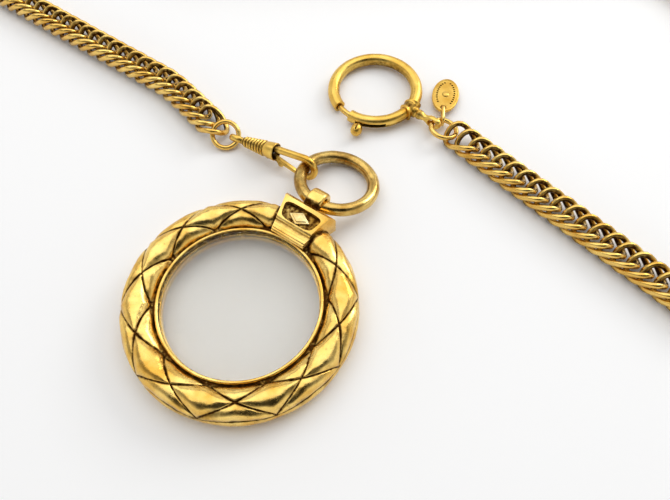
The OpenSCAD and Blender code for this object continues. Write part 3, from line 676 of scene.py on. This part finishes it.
def crown_shape():
    """The section extruded, spread to a wedge, softened, with raised ears and a sunk panel."""
    bar = [(FRONT_X + 1.2 * cos(a), FRONT_Z + 1.15 * sin(a)) for a in
           (radians(212 - 19 * i) for i in range(11))]
    plate = [(20.6, 7.7), (20.75, 8.2), (21.05, 8.5), (21.5, CROWN_Z), (25.9, CROWN_Z),
             (26.8, 8.45), (27.6, 7.95), (28.1, 7.3), (CROWN_OUT, 6.6), (CROWN_OUT, 2.4),
             (RING_R, TUBE_Z)]
    bm = moved(block(bar + plate, 2.0), turned(90, 0, 0))
    for v in bm.verts:
        lean = 0.2 * max(0.0, v.co.z - 6.6)
        v.co.y *= half_width(v.co.x) - 0.05 - lean
    soften(bm, 0.28, 3, 40)
    for v in bm.verts:
        corner = hypot(v.co.x - EAR_X, abs(v.co.y) - half_width(27) + 0.8)
        v.co.z += EAR_RISE * tent(corner, EAR_SPREAD) * (v.co.z > 6)
    outline = []
    for i in range(48):
        c, s = cos(FULL * i / 48), sin(FULL * i / 48)
        x = PANEL_X + PANEL_HALF * copysign(abs(c) ** SQUARISH, c)
        side = half_width(x) - PANEL_EDGE
        outline.append((x, side * copysign(abs(s) ** SQUARISH, s)))
    pocket = block(outline, 1.2)
    for v in pocket.verts:
        if v.co.z < 0:
            v.co.x, v.co.y = PANEL_X + (v.co.x - PANEL_X) * 0.9, v.co.y * 0.94
    return carved(bm, moved(pocket, shift((0, 0, CROWN_Z + 0.1))))


def crown_film_and_shade(p):
    """Brown in the panel and in the valley behind the front bar, and brown film with painted shade
    down by the tube.
    """
    local = to_crown.inverted() @ p
    over_panel = 21.2 < local.x < 26 and abs(local.y) < half_width(local.x) - 1
    sunk = over_panel and local.z < CROWN_Z - 0.3
    valley = tent(local.x - 20.45, 0.35) * (local.z > 6.2)
    # Brown film and painted shade along the foot, where the crown meets the tube; on the front bar
    # it is fainter and stands in for a dark reflection
    low = tent(local.z - on_tube(min(26.9, max(19, local.x))), 0.9)
    return 0.75 if sunk else max((0.25 if local.x < 20.3 else 0.7) * low, 0.8 * valley)


crown_mesh = moved(crown_shape(), to_crown)
piece("crown_saddle", crown_mesh, "magnifier", cast_gold, "crown", slot="cast_gold",
      film_and_shade=crown_film_and_shade)

# %% Lozenge
LOZENGE_AT = (23.4, 0, 8.38)
lower = block([(1.8, 0), (0, 2.88), (-1.8, 0), (0, -2.88)], 0.5)
upper = block([(1.25, 0), (0, 2.0), (-1.25, 0), (0, -2.0)], 0.36)
raised = moved(soften(upper, 0.12, 3, 30), shift((0, 0, 0.35)))
lozenge = joined(soften(lower, 0.14, 3, 30), raised)
piece("crown_lozenge_plate", moved(lozenge, to_crown @ shift(LOZENGE_AT)), "magnifier",
      rubbed_gold, "crown_lozenge", slot="worn_gold", film_and_shade=lambda p: max(0.0, 8.55 - p.z) * 1.2)

# %% Loop
LOOP_AT, LOOP_HOLE, LOOP_T, LOOP_W, LOOP_RUBBED = (30.4, 0, 5.739), 2.05, 1.4, 4.2, 0.12


def loop_shape():
    """A round-edged strap turned about its hole, with its top rubbed flat."""
    r, flat = LOOP_T / 2, LOOP_W / 2 - LOOP_T / 2
    turns = [pi * i / 8 for i in range(9)]
    upper = [(LOOP_HOLE + r - r * cos(a), flat + r * sin(a)) for a in turns]
    lower = [(reach, -height) for reach, height in reversed(upper)]
    bm = lathe(upper + lower, 64, axis="Y", closed=True)
    for v in bm.verts:
        v.co.z = min(v.co.z, LOOP_HOLE + LOOP_T - LOOP_RUBBED)
    return moved(bm, shift(LOOP_AT))


piece("crown_loop", moved(loop_shape(), to_crown), "magnifier", cast_gold, "crown",
      slot="cast_gold",
      film_and_shade=lambda p: max(0.0, 1.3 - ((to_crown.inverted() @ p).x - CROWN_OUT) / 0.9))

# %% [markdown]
# ## The bail ring
#
# This ring is bent from thick wire and soldered shut. Most of its plating is rubbed off, which
# leaves brown and silvery metal. A circle swept round a closed path is a torus, and a little noise
# makes it the uneven ring that a hand bent.

# %% Bail ring
def uneven(bm, amount, size_mm):
    """Push each point along its normal by a soft noise."""
    for v in bm.verts:
        v.co += v.normal * noise.noise(v.co / size_mm) * amount
    return bm


BAIL_R, BAIL_WIRE, BAIL_STEPS = 9.2, 1.58, 160
bail_place = put((21.727, 32.825, 3.670), (0, -13, 236.5))
bail_path = arc(BAIL_R, 0, 360, BAIL_STEPS)[:-1]
bail = sweep(bail_path, [BAIL_WIRE] * BAIL_STEPS, 24, closed=True)
bail.normal_update()
moved(uneven(bail, 0.05, 2.2), bail_place)
# The film is darker towards the ring's back left side, and painted shade darkens its underside
piece("bail_ring_rubbed", bail, "bail", worn_gold, "bail_ring", slot="worn_gold",
      film_and_shade=lambda p: 0.36 * max(0.0, min(1.0, (p.y - p.x - 6) / 10)) + 0.3 * max(0.0, 3 - p.z) / 3)

# %% [markdown]
# ## The swivel clip
#
# The clip is a ribbed barrel with a long bent hook. A gate with a thumb lug is pinned in its mouth
# and closes on the tip of the hook. The barrel and the beads are turned, the hook is a wire swept
# along its path, and the gate is cut from flat brass. The eye turns on a stem inside the barrel.

# %% Barrel and hook
CLIP_AT, CLIP_ROLL, EYE_ROLL, CLIP_TILT, CLIP_TURN = (-2.6305, 46.8456, 2.105), 76, 30, -10.5, -29
clip_place = put(CLIP_AT, (CLIP_ROLL, CLIP_TILT, CLIP_TURN))
eye_place = put(CLIP_AT, (EYE_ROLL, CLIP_TILT, CLIP_TURN))
BARREL_L, BARREL_SMALL, BARREL_MOUTH = 10.3, 1.2, 2.35
RIB_FROM, RIB_STEP, RIBS = 0.9, 0.95, 7
BAR_R, BAR_Y, BEND_X, BEND_R, TIP_X = 0.95, 0.95, 18.9, 2.75, 17.6


def barrel_at(x):
    """Radius of the cone at this distance from its small end."""
    return BARREL_SMALL + (BARREL_MOUTH - BARREL_SMALL) * x / BARREL_L


def rib_phase(x):
    """Which rib this is, and the way from its crest, from minus a half to a half."""
    phase = (x - RIB_FROM) / RIB_STEP
    return phase, phase - round(phase)


def barrel_shape():
    """A ribbed cone with a plain mouth, turned, and the gate's slot cut in it."""
    profile = [(0, 0), (0.9, 0), (1.12, 0.08)]
    for i in range(4, 89):
        x = i * 0.08
        phase, away = rib_phase(x)
        rib = 0.2 * max(0.0, cos(pi * away * 1.35)) if -0.5 < phase < RIBS - 0.5 else 0
        profile.append((barrel_at(x) - 0.12 + rib * 1.5, x))
    mouth = [(7.3, 0.0), (8.4, 0.05), (9.3, 0.02), (9.9, -0.01), (10.2, -0.02), (10.3, -0.14)]
    profile += [(barrel_at(x) + d, x) for x, d in mouth]
    profile += [(BARREL_MOUTH - 0.38, 10.3), (BARREL_MOUTH - 0.48, 10.2),
                (BARREL_MOUTH - 0.52, 9.0), (0, 9.0)]
    slot = block([(7.2, -0.3), (13, -0.3), (13, -4), (7.2, -4)], 1.4)
    return carved(lathe(profile, 48, axis="X"), slot)


def hook_shape():
    """A straight bar, a half turn, and a tip that rounds off to nothing."""
    path = [Vector((x, BAR_Y, 0)) for x in (8.6, 10, 12, 14, 16, 18)]
    path += [Vector((BEND_X + BEND_R * sin(a), BAR_Y - BEND_R + BEND_R * cos(a), 0))
             for a in (pi * i / 24 for i in range(25))]
    tip_y = BAR_Y - 2 * BEND_R
    path += [Vector((18.2, tip_y, 0)), Vector((TIP_X, tip_y, 0))]
    radii = [BAR_R] * len(path)
    for i in range(1, 7):
        a = pi / 2 * i / 6.3
        path.append(Vector((TIP_X - BAR_R * sin(a), tip_y, 0)))
        radii.append(BAR_R * cos(a))
    return sweep(path, radii, 20)


def clip_film(p):
    """Brown between the ribs, in the mouth and at the foot of the hook."""
    local = clip_place.inverted() @ p
    around = hypot(local.y, local.z)
    if local.x < 7.3:
        valley = 1 - cos(pi * rib_phase(local.x)[1]) * 1.9 + 0.5
        return 0.85 * max(0.0, valley) * (around < 2.4)
    if local.x < 10.4 and around < barrel_at(local.x) - 0.25:
        return 0.9
    if local.x < 11 and around < 2.1:
        return max(0.0, 0.6 - (local.x - 10.3))
    return 0.1


clip_mesh = moved(joined(barrel_shape(), hook_shape()), clip_place)
piece("clip_barrel_and_hook", clip_mesh, "clip", clasp_gold, "clip_body", film_and_shade=clip_film)

# %% Gate
gate = block([(7.6, -0.75), (9.4, -0.85), (16.45, -3.85), (16.45, -4.75), (12.5, -3.35),
              (11.9, -3.95), (10.9, -3.95), (10.4, -2.75), (9.3, -1.95), (7.6, -1.85)], 1.1)
piece("clip_gate_plate", moved(soften(gate, 0.16, 3, 25), clip_place), "gate", clasp_gold,
      "clip_gate", film_and_shade=lambda p: 0.55 if (clip_place.inverted() @ p).x < 10.6 else 0.15)

# %% Eyes of the clip and the clasp
EYE_R, EYE_HALF = 1.55, 0.95


def eye_shape(hole_x, ball_x, neck_x, neck):
    """A bead, pressed flat on both sides and drilled, with a neck of (radius, place) points."""
    profile = [(0, ball_x - EYE_R)]
    profile += [(EYE_R * sin(a), ball_x - EYE_R * cos(a)) for a in
                (pi / 2 * i / 8 for i in range(1, 9))]
    profile += [(EYE_R, neck_x * 0.5 + ball_x * 0.5)] + neck + [(0, neck[-1][1])]
    bm = lathe(profile, 40, axis="X")
    for v in bm.verts:
        if v.co.x < neck_x + EYE_R:
            squeeze = EYE_HALF * sin(min(1.0, abs(v.co.y) / EYE_R) * pi / 2)
            v.co.y = copysign(min(abs(v.co.y), squeeze), v.co.y)
    drill = lathe([(0, -2), (1.3, -2), (1.25, -0.95), (0.97, -0.5), (0.95, 0), (0.97, 0.5),
                   (1.25, 0.95), (1.3, 2), (0, 2)], 32, axis="Y")
    return carved(bm, moved(drill, shift((hole_x, 0, 0))))


stem = lathe([(0, -0.45), (0.55, -0.45), (0.55, 1.9), (0.85, 1.9), (0.85, 2.7), (0, 2.7)], 24,
             axis="X")
swivel_neck = [(1.55, -1.8), (1.45, -1.3), (1.2, -0.85), (0.95, -0.55), (0.8, -0.35), (0.8, -0.15)]
eye_mesh = moved(joined(eye_shape(-2.0, -2.9, -1.8, swivel_neck), stem), eye_place)
piece("swivel_eye", eye_mesh, "clip_swivel", clasp_gold, "clip_swivel_eye",
      film_and_shade=lambda p: 0.6 * tent((eye_place.inverted() @ p).x + 0.3, 0.9))

# %% [markdown]
# ## Jump rings
#
# Both jump rings are sawn from a coil of wire, so each is a full circle but for the saw cut.

# %% Jump rings
JUMP_R, JUMP_WIRE, SAW_CUT = 3.45, 0.65, 0.15


def jump_ring(name, body, node, cut, place):
    """A ring of wire whose saw cut is at this angle, in its place."""
    path = arc(JUMP_R, cut, cut + 360 - degrees(SAW_CUT / JUMP_R), 96)
    ring = uneven(sweep(path, [JUMP_WIRE] * len(path), 16), 0.02, 1.5)
    piece(name, moved(ring, place), body, wire_gold, node, film_and_shade=lambda p: 0.12)


jump_ring("clip_ring_wire", "clip_ring", "clip_jump_ring", 62,
          put((-7.592, 48.841, 2.294), (28, 0, 0)))
jump_ring("clasp_ring_wire", "clasp_ring", "clasp_jump_ring", 240,
          put((50.043, 50.834, 2.2), (0, -12, 220)))

# %% [markdown]
# ## The spring clasp
#
# The clasp is a tube rolled to an open ring. A bolt slides inside it, pushed by a spring, and a
# knob on the bolt runs in a slot. A collar holds the clasp's eye. The tube is a section spun part
# of the way round, its bore and its slot are cut out of it in the same way, and the knob is turned
# with a sawn slit. A stiff piece can't get shorter, so the spring is two halves of one coil: one
# rides on the bolt, the other stays in the tube, and the first passes into the second.

# %% Clasp tube
clasp_place = put((32.290, 64.724, 1.88), (0, -1.407, -38))
CLASP_R, TUBE_OUT, TUBE_IN = 11.4, 1.6, 0.85
# Angles in degrees: the open gap, the knob, the end of the bore, and the knob's slot. PAST, in
# radians, carries the bores a little past the tube's open ends.
GAP_LOW, GAP_HIGH, KNOB_ANGLE, BORE_END, SLOT_LOW, SLOT_LONG = 249, 271, 287, 344, 282, 37
BOLT_TRAVEL, SLOT_HALF, PAST = 27, 0.55, 0.05


def round_section(radius, count):
    """The points of a round section on the tube's middle line."""
    return [(CLASP_R + radius * cos(a), radius * sin(a)) for a in
            (FULL * i / count for i in range(count))]


def clasp_tube_shape():
    """A section spun from one side of the gap to the other, bored at both ends and slotted."""
    low, high = radians(GAP_HIGH), radians(GAP_LOW + 360)
    solid = lathe(round_section(TUBE_OUT, 28), 150, closed=True, low=low, angle=high - low)
    uneven(solid, 0.03, 2.5)
    bore = round_section(TUBE_IN, 16)
    first_bore = lathe(bore, 60, closed=True, low=low - PAST,
                       angle=radians(BORE_END - GAP_HIGH) + PAST)
    second_bore = lathe(bore, 30, closed=True, low=radians(GAP_LOW - BOLT_TRAVEL),
                        angle=radians(BOLT_TRAVEL) + PAST)
    slot = [(CLASP_R, -SLOT_HALF), (CLASP_R + 3, -SLOT_HALF),
            (CLASP_R + 3, SLOT_HALF), (CLASP_R, SLOT_HALF)]
    slot_cutter = lathe(slot, 30, closed=True, low=radians(SLOT_LOW),
                        angle=radians(SLOT_LONG))
    return carved(solid, first_bore, second_bore, slot_cutter)


def round_the_clasp(p):
    """A point in the clasp's own frame, with its reach, angle and distance from the middle line."""
    local = clasp_place.inverted() @ p
    reach = hypot(local.x, local.y)
    angle = degrees(atan2(local.y, local.x))
    return local, reach, angle, hypot(reach - CLASP_R, local.z)


def clasp_film_and_shade(p):
    """Brown in the bore, along the slot and on the inner side by the collar, and painted shade
    beneath.
    """
    local, reach, angle, section = round_the_clasp(p)
    angle %= 360
    collar = min(angle, 360 - angle)
    if section < 1.3:
        return 1.0
    if 315 < angle < 352 and reach > CLASP_R + 1.3:
        return 0.95 * tent(local.z + 0.15, 0.5)
    inner = max(0.0, (CLASP_R - 0.9 - reach) / 0.7)
    # Painted shade on the underside of the tube
    low = 0.5 * max(0.0, (-local.z - 0.7) / 0.9)
    return max(0.6 * tent(collar - 8.5, 3), low,
               0.6 * inner * max(0.0, sin(radians(angle - 20))))


piece("clasp_ring_tube", moved(clasp_tube_shape(), clasp_place), "clasp", clasp_gold,
      "clasp_tube", film_and_shade=clasp_film_and_shade)

# %% Bolt and knob
BOLT_LOW, BOLT_HIGH, BOLT_R, BOLT_END_R = 244, 291, 0.78, 0.55
KNOB_R, KNOB_LONG, KNOB_OUT, KNOB_SLIT = 1.55, 1.75, 3.6, 0.4
bolt = sweep(arc(CLASP_R, BOLT_LOW, BOLT_HIGH, 40),
             [BOLT_END_R] + [BOLT_R] * 39 + [BOLT_END_R], 16)
piece("clasp_bolt_rod", moved(bolt, clasp_place), "bolt", wire_gold, "clasp_bolt",
      film_and_shade=lambda p: 0.2)


def knob_shape():
    """A bead on a short neck, with a sawn slit in its end."""
    profile = [(0, 0.6), (0.5, 0.6), (0.5, KNOB_OUT - 1.5)]
    profile += [(KNOB_R * sin(a) ** 0.8, KNOB_OUT - KNOB_LONG * cos(a)) for a in
                (pi * i / 18 for i in range(3, 18))]
    profile += [(0, KNOB_OUT + KNOB_LONG)]
    bead = lathe(profile, 36, axis="X")
    half = KNOB_SLIT / 2
    slit = [(KNOB_OUT - 1.9, -half), (KNOB_OUT + 0.8, -half), (KNOB_OUT + 1.0, 0),
            (KNOB_OUT + 0.8, half), (KNOB_OUT - 1.9, half)]
    cut = moved(block(slit, 2.6), shift((0, 0, 1.7)))
    return moved(carved(bead, cut), turned(0, 0, KNOB_ANGLE) @ shift((CLASP_R, 0, 0)))


def knob_film(p):
    """Brown in the slit and on the neck."""
    upright = turned(0, 0, -KNOB_ANGLE) @ clasp_place.inverted() @ p
    out = upright - Vector((CLASP_R + KNOB_OUT, 0, 0))
    in_slit = abs(out.y) < KNOB_SLIT / 2 + 0.04 and out.length < KNOB_R - 0.1 and out.x > -1.3
    return 0.95 if in_slit else 0.1 + 0.4 * max(0.0, -1 - out.x)


piece("clasp_knob_bead", moved(knob_shape(), clasp_place), "bolt", clasp_gold, "clasp_knob",
      film_and_shade=knob_film)

# %% Coil spring, in two halves that slide into each other
# The bolt's travel is six and a half turns, so the halves' turns stay apart at both ends of it
COIL_R, COIL_WIRE, COIL_PITCH = 0.62, 0.13, BOLT_TRAVEL / 6.5
MOVING_COIL, FIXED_COIL = (292.5, 316.0), (319.2, 342.3)


def coil_shape(low, high):
    """A wire wound round the middle line of the tube, from one angle to another."""
    count = int((high - low) / COIL_PITCH * 12)
    path = []
    for i in range(count + 1):
        a = radians(low + (high - low) * i / count)
        wind = FULL * (low + (high - low) * i / count) / COIL_PITCH
        reach = CLASP_R + COIL_R * cos(wind)
        path.append(Vector((reach * cos(a), reach * sin(a), COIL_R * sin(wind))))
    return sweep(path, [COIL_WIRE] * len(path), 6)


for name, body, reach in (("moving", "bolt", MOVING_COIL), ("fixed", "clasp", FIXED_COIL)):
    piece(f"clasp_coil_{name}", moved(coil_shape(*reach), clasp_place), body, steel,
          "clasp_spring", slot="steel")

# %% Collar and eye
COLLAR_HALF, COLLAR_R, COLLAR_STEPS, EYE_AT, EYE_TURN = 8.54, 1.98, 24, 19.1, -12


def collar_shape():
    """A short sleeve with a bead at each end, and the boss that carries the eye."""
    radii = []
    for i in range(COLLAR_STEPS + 1):
        edge = abs(2 * i / COLLAR_STEPS - 1)
        bead = 0.2 * exp(-((edge - 0.86) / 0.14) ** 2)
        radii.append(COLLAR_R + bead - (0.22 if edge > 0.97 else 0))
    band = sweep(arc(CLASP_R, -COLLAR_HALF, COLLAR_HALF, COLLAR_STEPS), radii, 36)
    for v in band.verts:
        reach = hypot(v.co.x, v.co.y) - CLASP_R
        v.co.y *= 1.1 + 0.32 * max(-1.0, min(1.0, reach / 2))
    boss = lathe([(0, 0), (1.55, 0), (1.5, 2.2), (1.32, 2.5), (1.05, 2.8), (0.95, 2.95),
                  (0, 2.98)], 32, axis="X")
    return joined(band, moved(boss, shift((CLASP_R, 0, 0))))


def collar_film(p):
    """Brown between the beads and at the foot of the boss."""
    local, _, angle, section = round_the_clasp(p)
    valley = tent(section - COLLAR_R, 0.12) * (abs(angle) < 5)
    return 0.6 * max(valley, tent(local.x - 13.5, 0.6))


piece("clasp_collar_band", moved(collar_shape(), clasp_place), "clasp", clasp_gold,
      "clasp_collar", film_and_shade=collar_film)

clasp_neck = [(1.55, 0.5), (1.45, 1.1), (1.15, 1.7), (0.92, 2.3), (0.9, 2.8), (1.05, 3.4),
              (1.28, 4.0), (1.35, 4.69)]
facing_in = shift((EYE_AT, 0, 0)) @ Matrix.Scale(-1, 4, (1, 0, 0))
eye = moved(eye_shape(0, -0.9, 0.5, clasp_neck), facing_in)
outward(eye)
moved(eye, clasp_place @ turned(EYE_TURN, 0, 0))
piece("clasp_eye_bead", eye, "clasp", clasp_gold, "clasp_eye",
      film_and_shade=lambda p: 0.6 * tent((clasp_place.inverted() @ p).x - 15.0, 1.1))

# %% [markdown]
# ## The tag
#
# A thin oval tag hangs from a narrow wire link. It is pressed from sheet, with a raised rim, a row
# of punched dots and a small dome. The oval is a circle scaled one way, extruded and inset.

# %% Tag link
LINK_END_R, LINK_LONG, TAG_WIRE = 1.3, 2.7, 0.45
tag_path = arc(LINK_END_R, -90, 90, 16, (LINK_LONG, 0, 0)) + arc(LINK_END_R, 90, 270, 16)
tag_link = sweep(tag_path, [TAG_WIRE] * len(tag_path), 14, closed=True)
piece("tag_link_wire", moved(tag_link, put((50.125, 54.249, 1.8), (90, 0, 84))), "tag_link",
      wire_gold, "tag_link", film_and_shade=lambda p: 0.1)

# %% Tag plate
TAG_L, TAG_W, TAG_T, HOLE_IN, HOLE_R = 13.0, 7.3, 0.8, 1.3, 0.85
DOT_STEP, DOT_R, DOT_SINK, DOTS_L, DOTS_W, OVAL_STEPS = 0.84, 0.3, 0.06, 4.9, 2.35, 720


def bulge(p):
    """The pressing leaves the oval a little domed."""
    return 0.22 * max(0.0, 1 - (2 * p.x / TAG_L) ** 2 - (2 * p.y / TAG_W) ** 2)


def dot_punches():
    """Small balls along an oval, at even steps, but none beside the hole."""
    turns = [FULL * i / OVAL_STEPS for i in range(OVAL_STEPS)]
    oval = [Vector((DOTS_L * cos(a), DOTS_W * sin(a))) for a in turns]
    dots = bmesh.new()
    walked = 0.0
    for before, spot in zip(oval[-1:] + oval, oval):
        walked += (spot - before).length
        if walked < DOT_STEP:
            continue
        walked -= DOT_STEP
        if spot.x > -3.6:
            centre = shift((spot.x, spot.y, TAG_T / 2 - DOT_SINK))
            bmesh.ops.create_uvsphere(dots, u_segments=10, v_segments=6, radius=DOT_R,
                                      matrix=centre)
    return dots


def tag_shape():
    """A softened oval plate with a rim, punched dots, a hole and a small turned dome."""
    bm = bmesh.new()
    bmesh.ops.create_circle(bm, cap_ends=True, radius=1.0, segments=96)
    bmesh.ops.scale(bm, vec=(TAG_L / 2, TAG_W / 2, 1), verts=bm.verts[:])
    bmesh.ops.translate(bm, vec=(0, 0, -TAG_T / 2), verts=bm.verts[:])
    made = bmesh.ops.extrude_face_region(bm, geom=bm.faces[:], use_keep_orig=True)["geom"]
    lifted = [g for g in made if isinstance(g, bmesh.types.BMVert)]
    bmesh.ops.translate(bm, vec=(0, 0, TAG_T), verts=lifted)
    outward(bm)
    soften(bm, 0.15, 3, 60)
    top = max(bm.faces, key=lambda f: (f.normal.z > 0.9) * f.calc_area())
    bmesh.ops.inset_region(bm, faces=[top], thickness=0.25, depth=0)
    bmesh.ops.inset_region(bm, faces=[top], thickness=0.1, depth=-0.12)
    hole = lathe([(0, -1), (HOLE_R, -1), (HOLE_R, 1), (0, 1)], 32)
    moved(hole, shift((HOLE_IN - TAG_L / 2, 0, 0)))
    plate = carved(bm, hole, dot_punches())
    boss = lathe([(0, 0.55), (0.45, 0.53), (0.8, 0.43), (1.0, 0.3), (1.0, 0.1), (0, 0.1)], 32)
    whole = joined(plate, boss)
    for v in whole.verts:
        v.co.z += bulge(v.co)
    return moved(whole, shift((TAG_L / 2 - HOLE_IN, 0, 0)))


tag_place = put((50.543, 58.227, 1.8), (0, 6.626, 77))


def tag_film(p):
    """Brown in the dots and round the dome's foot."""
    local = tag_place.inverted() @ p - Vector((TAG_L / 2 - HOLE_IN, 0, 0))
    depth = local.z - bulge(local)
    ring = abs(hypot(local.x, local.y) - 1.05)
    return 0.95 if 0.0 < depth < 0.2 else max(0.12, 0.6 - ring)


piece("tag_plate_oval", moved(tag_shape(), tag_place), "tag", sheet_gold, "tag_plate",
      film_and_shade=tag_film)

# %% [markdown]
# ## CAD solids that stay
#
# The gate's pin and its leaf spring sit inside the barrel. Their CAD shape is right, so they only
# get their steel.

# %% Steel for the hidden pieces
for node in ("clip_gate_pin", "clip_gate_spring"):
    solid = bpy.data.objects.get(node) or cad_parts[node]
    solid.data.materials.clear()
    solid.data.materials.append(steel)
    print(node, "faces:", len(solid.data.polygons))

# %% [markdown]
# ## The floor and the light
#
# The photograph was taken on white card under soft light. The floor is a large white sheet. Far
# from the object it fades to plain white, as a backdrop does, but only where it is looked at or
# mirrored, so it sheds no more light on the object. A broad lamp stands overhead, a little
# behind, and a small one behind on the right makes the shadows fall to the front and the left.
# Polished metal shows what is round it: the world is bright low down and dimmer above, with a
# dark patch above and in front, and that gives the gold its brown reflections.

# %% Floor
FLOOR_HALF, FADE_FROM, FADE_TO = 2.0, 0.22, 0.5
sheet = bmesh.new()
bmesh.ops.create_grid(sheet, x_segments=1, y_segments=1, size=FLOOR_HALF)
floor = as_object("floor", as_mesh("floor", sheet))
floor.location = (0.025, 0.08, -0.0002)
card, tree, place = blank_material("white card, uncoated")
matt = add(tree, "ShaderNodeBsdfPrincipled", {
    "Base Color": rgb("#fefefe"), "Roughness": 0.9, "Specular IOR Level": 0.1})
away = add(tree, "ShaderNodeVectorMath", {0: place}, operation="LENGTH")
far = ranged(tree, away.outputs["Value"], FADE_FROM, FADE_TO, 0.0, 1.0)
rays = add(tree, "ShaderNodeLightPath").outputs
looked_at = combined(tree, "MAXIMUM", rays["Is Camera Ray"], rays["Is Glossy Ray"])
seen = combined(tree, "MAXIMUM", looked_at, rays["Is Transmission Ray"])
fade = combined(tree, "MULTIPLY", far, seen)
white = add(tree, "ShaderNodeEmission", {"Color": rgb("#ffffff"), "Strength": 1.0})
both = add(tree, "ShaderNodeMixShader", {0: fade, 1: matt.outputs[0], 2: white.outputs[0]})
add(tree, "ShaderNodeOutputMaterial", {"Surface": both.outputs[0]})
floor.data.materials.append(card)
print("Floor in metres:", 2 * FLOOR_HALF)

# %% Lamps and world
LAMP_AIM = (0.02, 0.03, 0)
# The way from the object to the dark patch, and the heights between which the world dims
DARK_WAY, DIM_FROM, DIM_TO, DIM = (0.08, -0.47, 0.88), 0.3, 0.55, 0.36
PATCH_EDGE, PATCH_CORE, PATCH = 0.74, 0.9, 0.05


def lamp(name, place, size, watts):
    """A flat lamp that points at the object."""
    data = bpy.data.lights.new(name, "AREA")
    data.shape = "RECTANGLE"
    data.size, data.size_y = size
    data.energy = watts
    obj = as_object(name, data)
    obj.location = place
    obj.rotation_euler = (Vector(LAMP_AIM) - Vector(place)).to_track_quat("-Z", "Y").to_euler()
    print(name, "watts:", watts)


lamp("overhead_lamp", (-0.05, 0.3, 0.75), (1.2, 1.0), 5.0)
lamp("back_lamp", (0.5, 0.42, 0.36), (0.3, 0.3), 1.6)

world = bpy.data.worlds.new("studio")
scene.world = world
world.use_nodes = True
tree = world.node_tree
tree.nodes.clear()
way = add(tree, "ShaderNodeTexCoord").outputs["Generated"]
height = add(tree, "ShaderNodeSeparateXYZ", {0: way})
wall = ranged(tree, height.outputs["Z"], DIM_FROM, DIM_TO, 1.0, DIM)
near = add(tree, "ShaderNodeVectorMath", {0: way, 1: DARK_WAY}, operation="DOT_PRODUCT")
shade = ranged(tree, near.outputs["Value"], PATCH_EDGE, PATCH_CORE, 1.0, PATCH)
room = combined(tree, "MULTIPLY", wall, shade)
sky = add(tree, "ShaderNodeBackground", {0: rgb("#ffffff"), 1: room})
add(tree, "ShaderNodeOutputWorld", {0: sky.outputs[0]})
scene.view_settings.view_transform = "Standard"
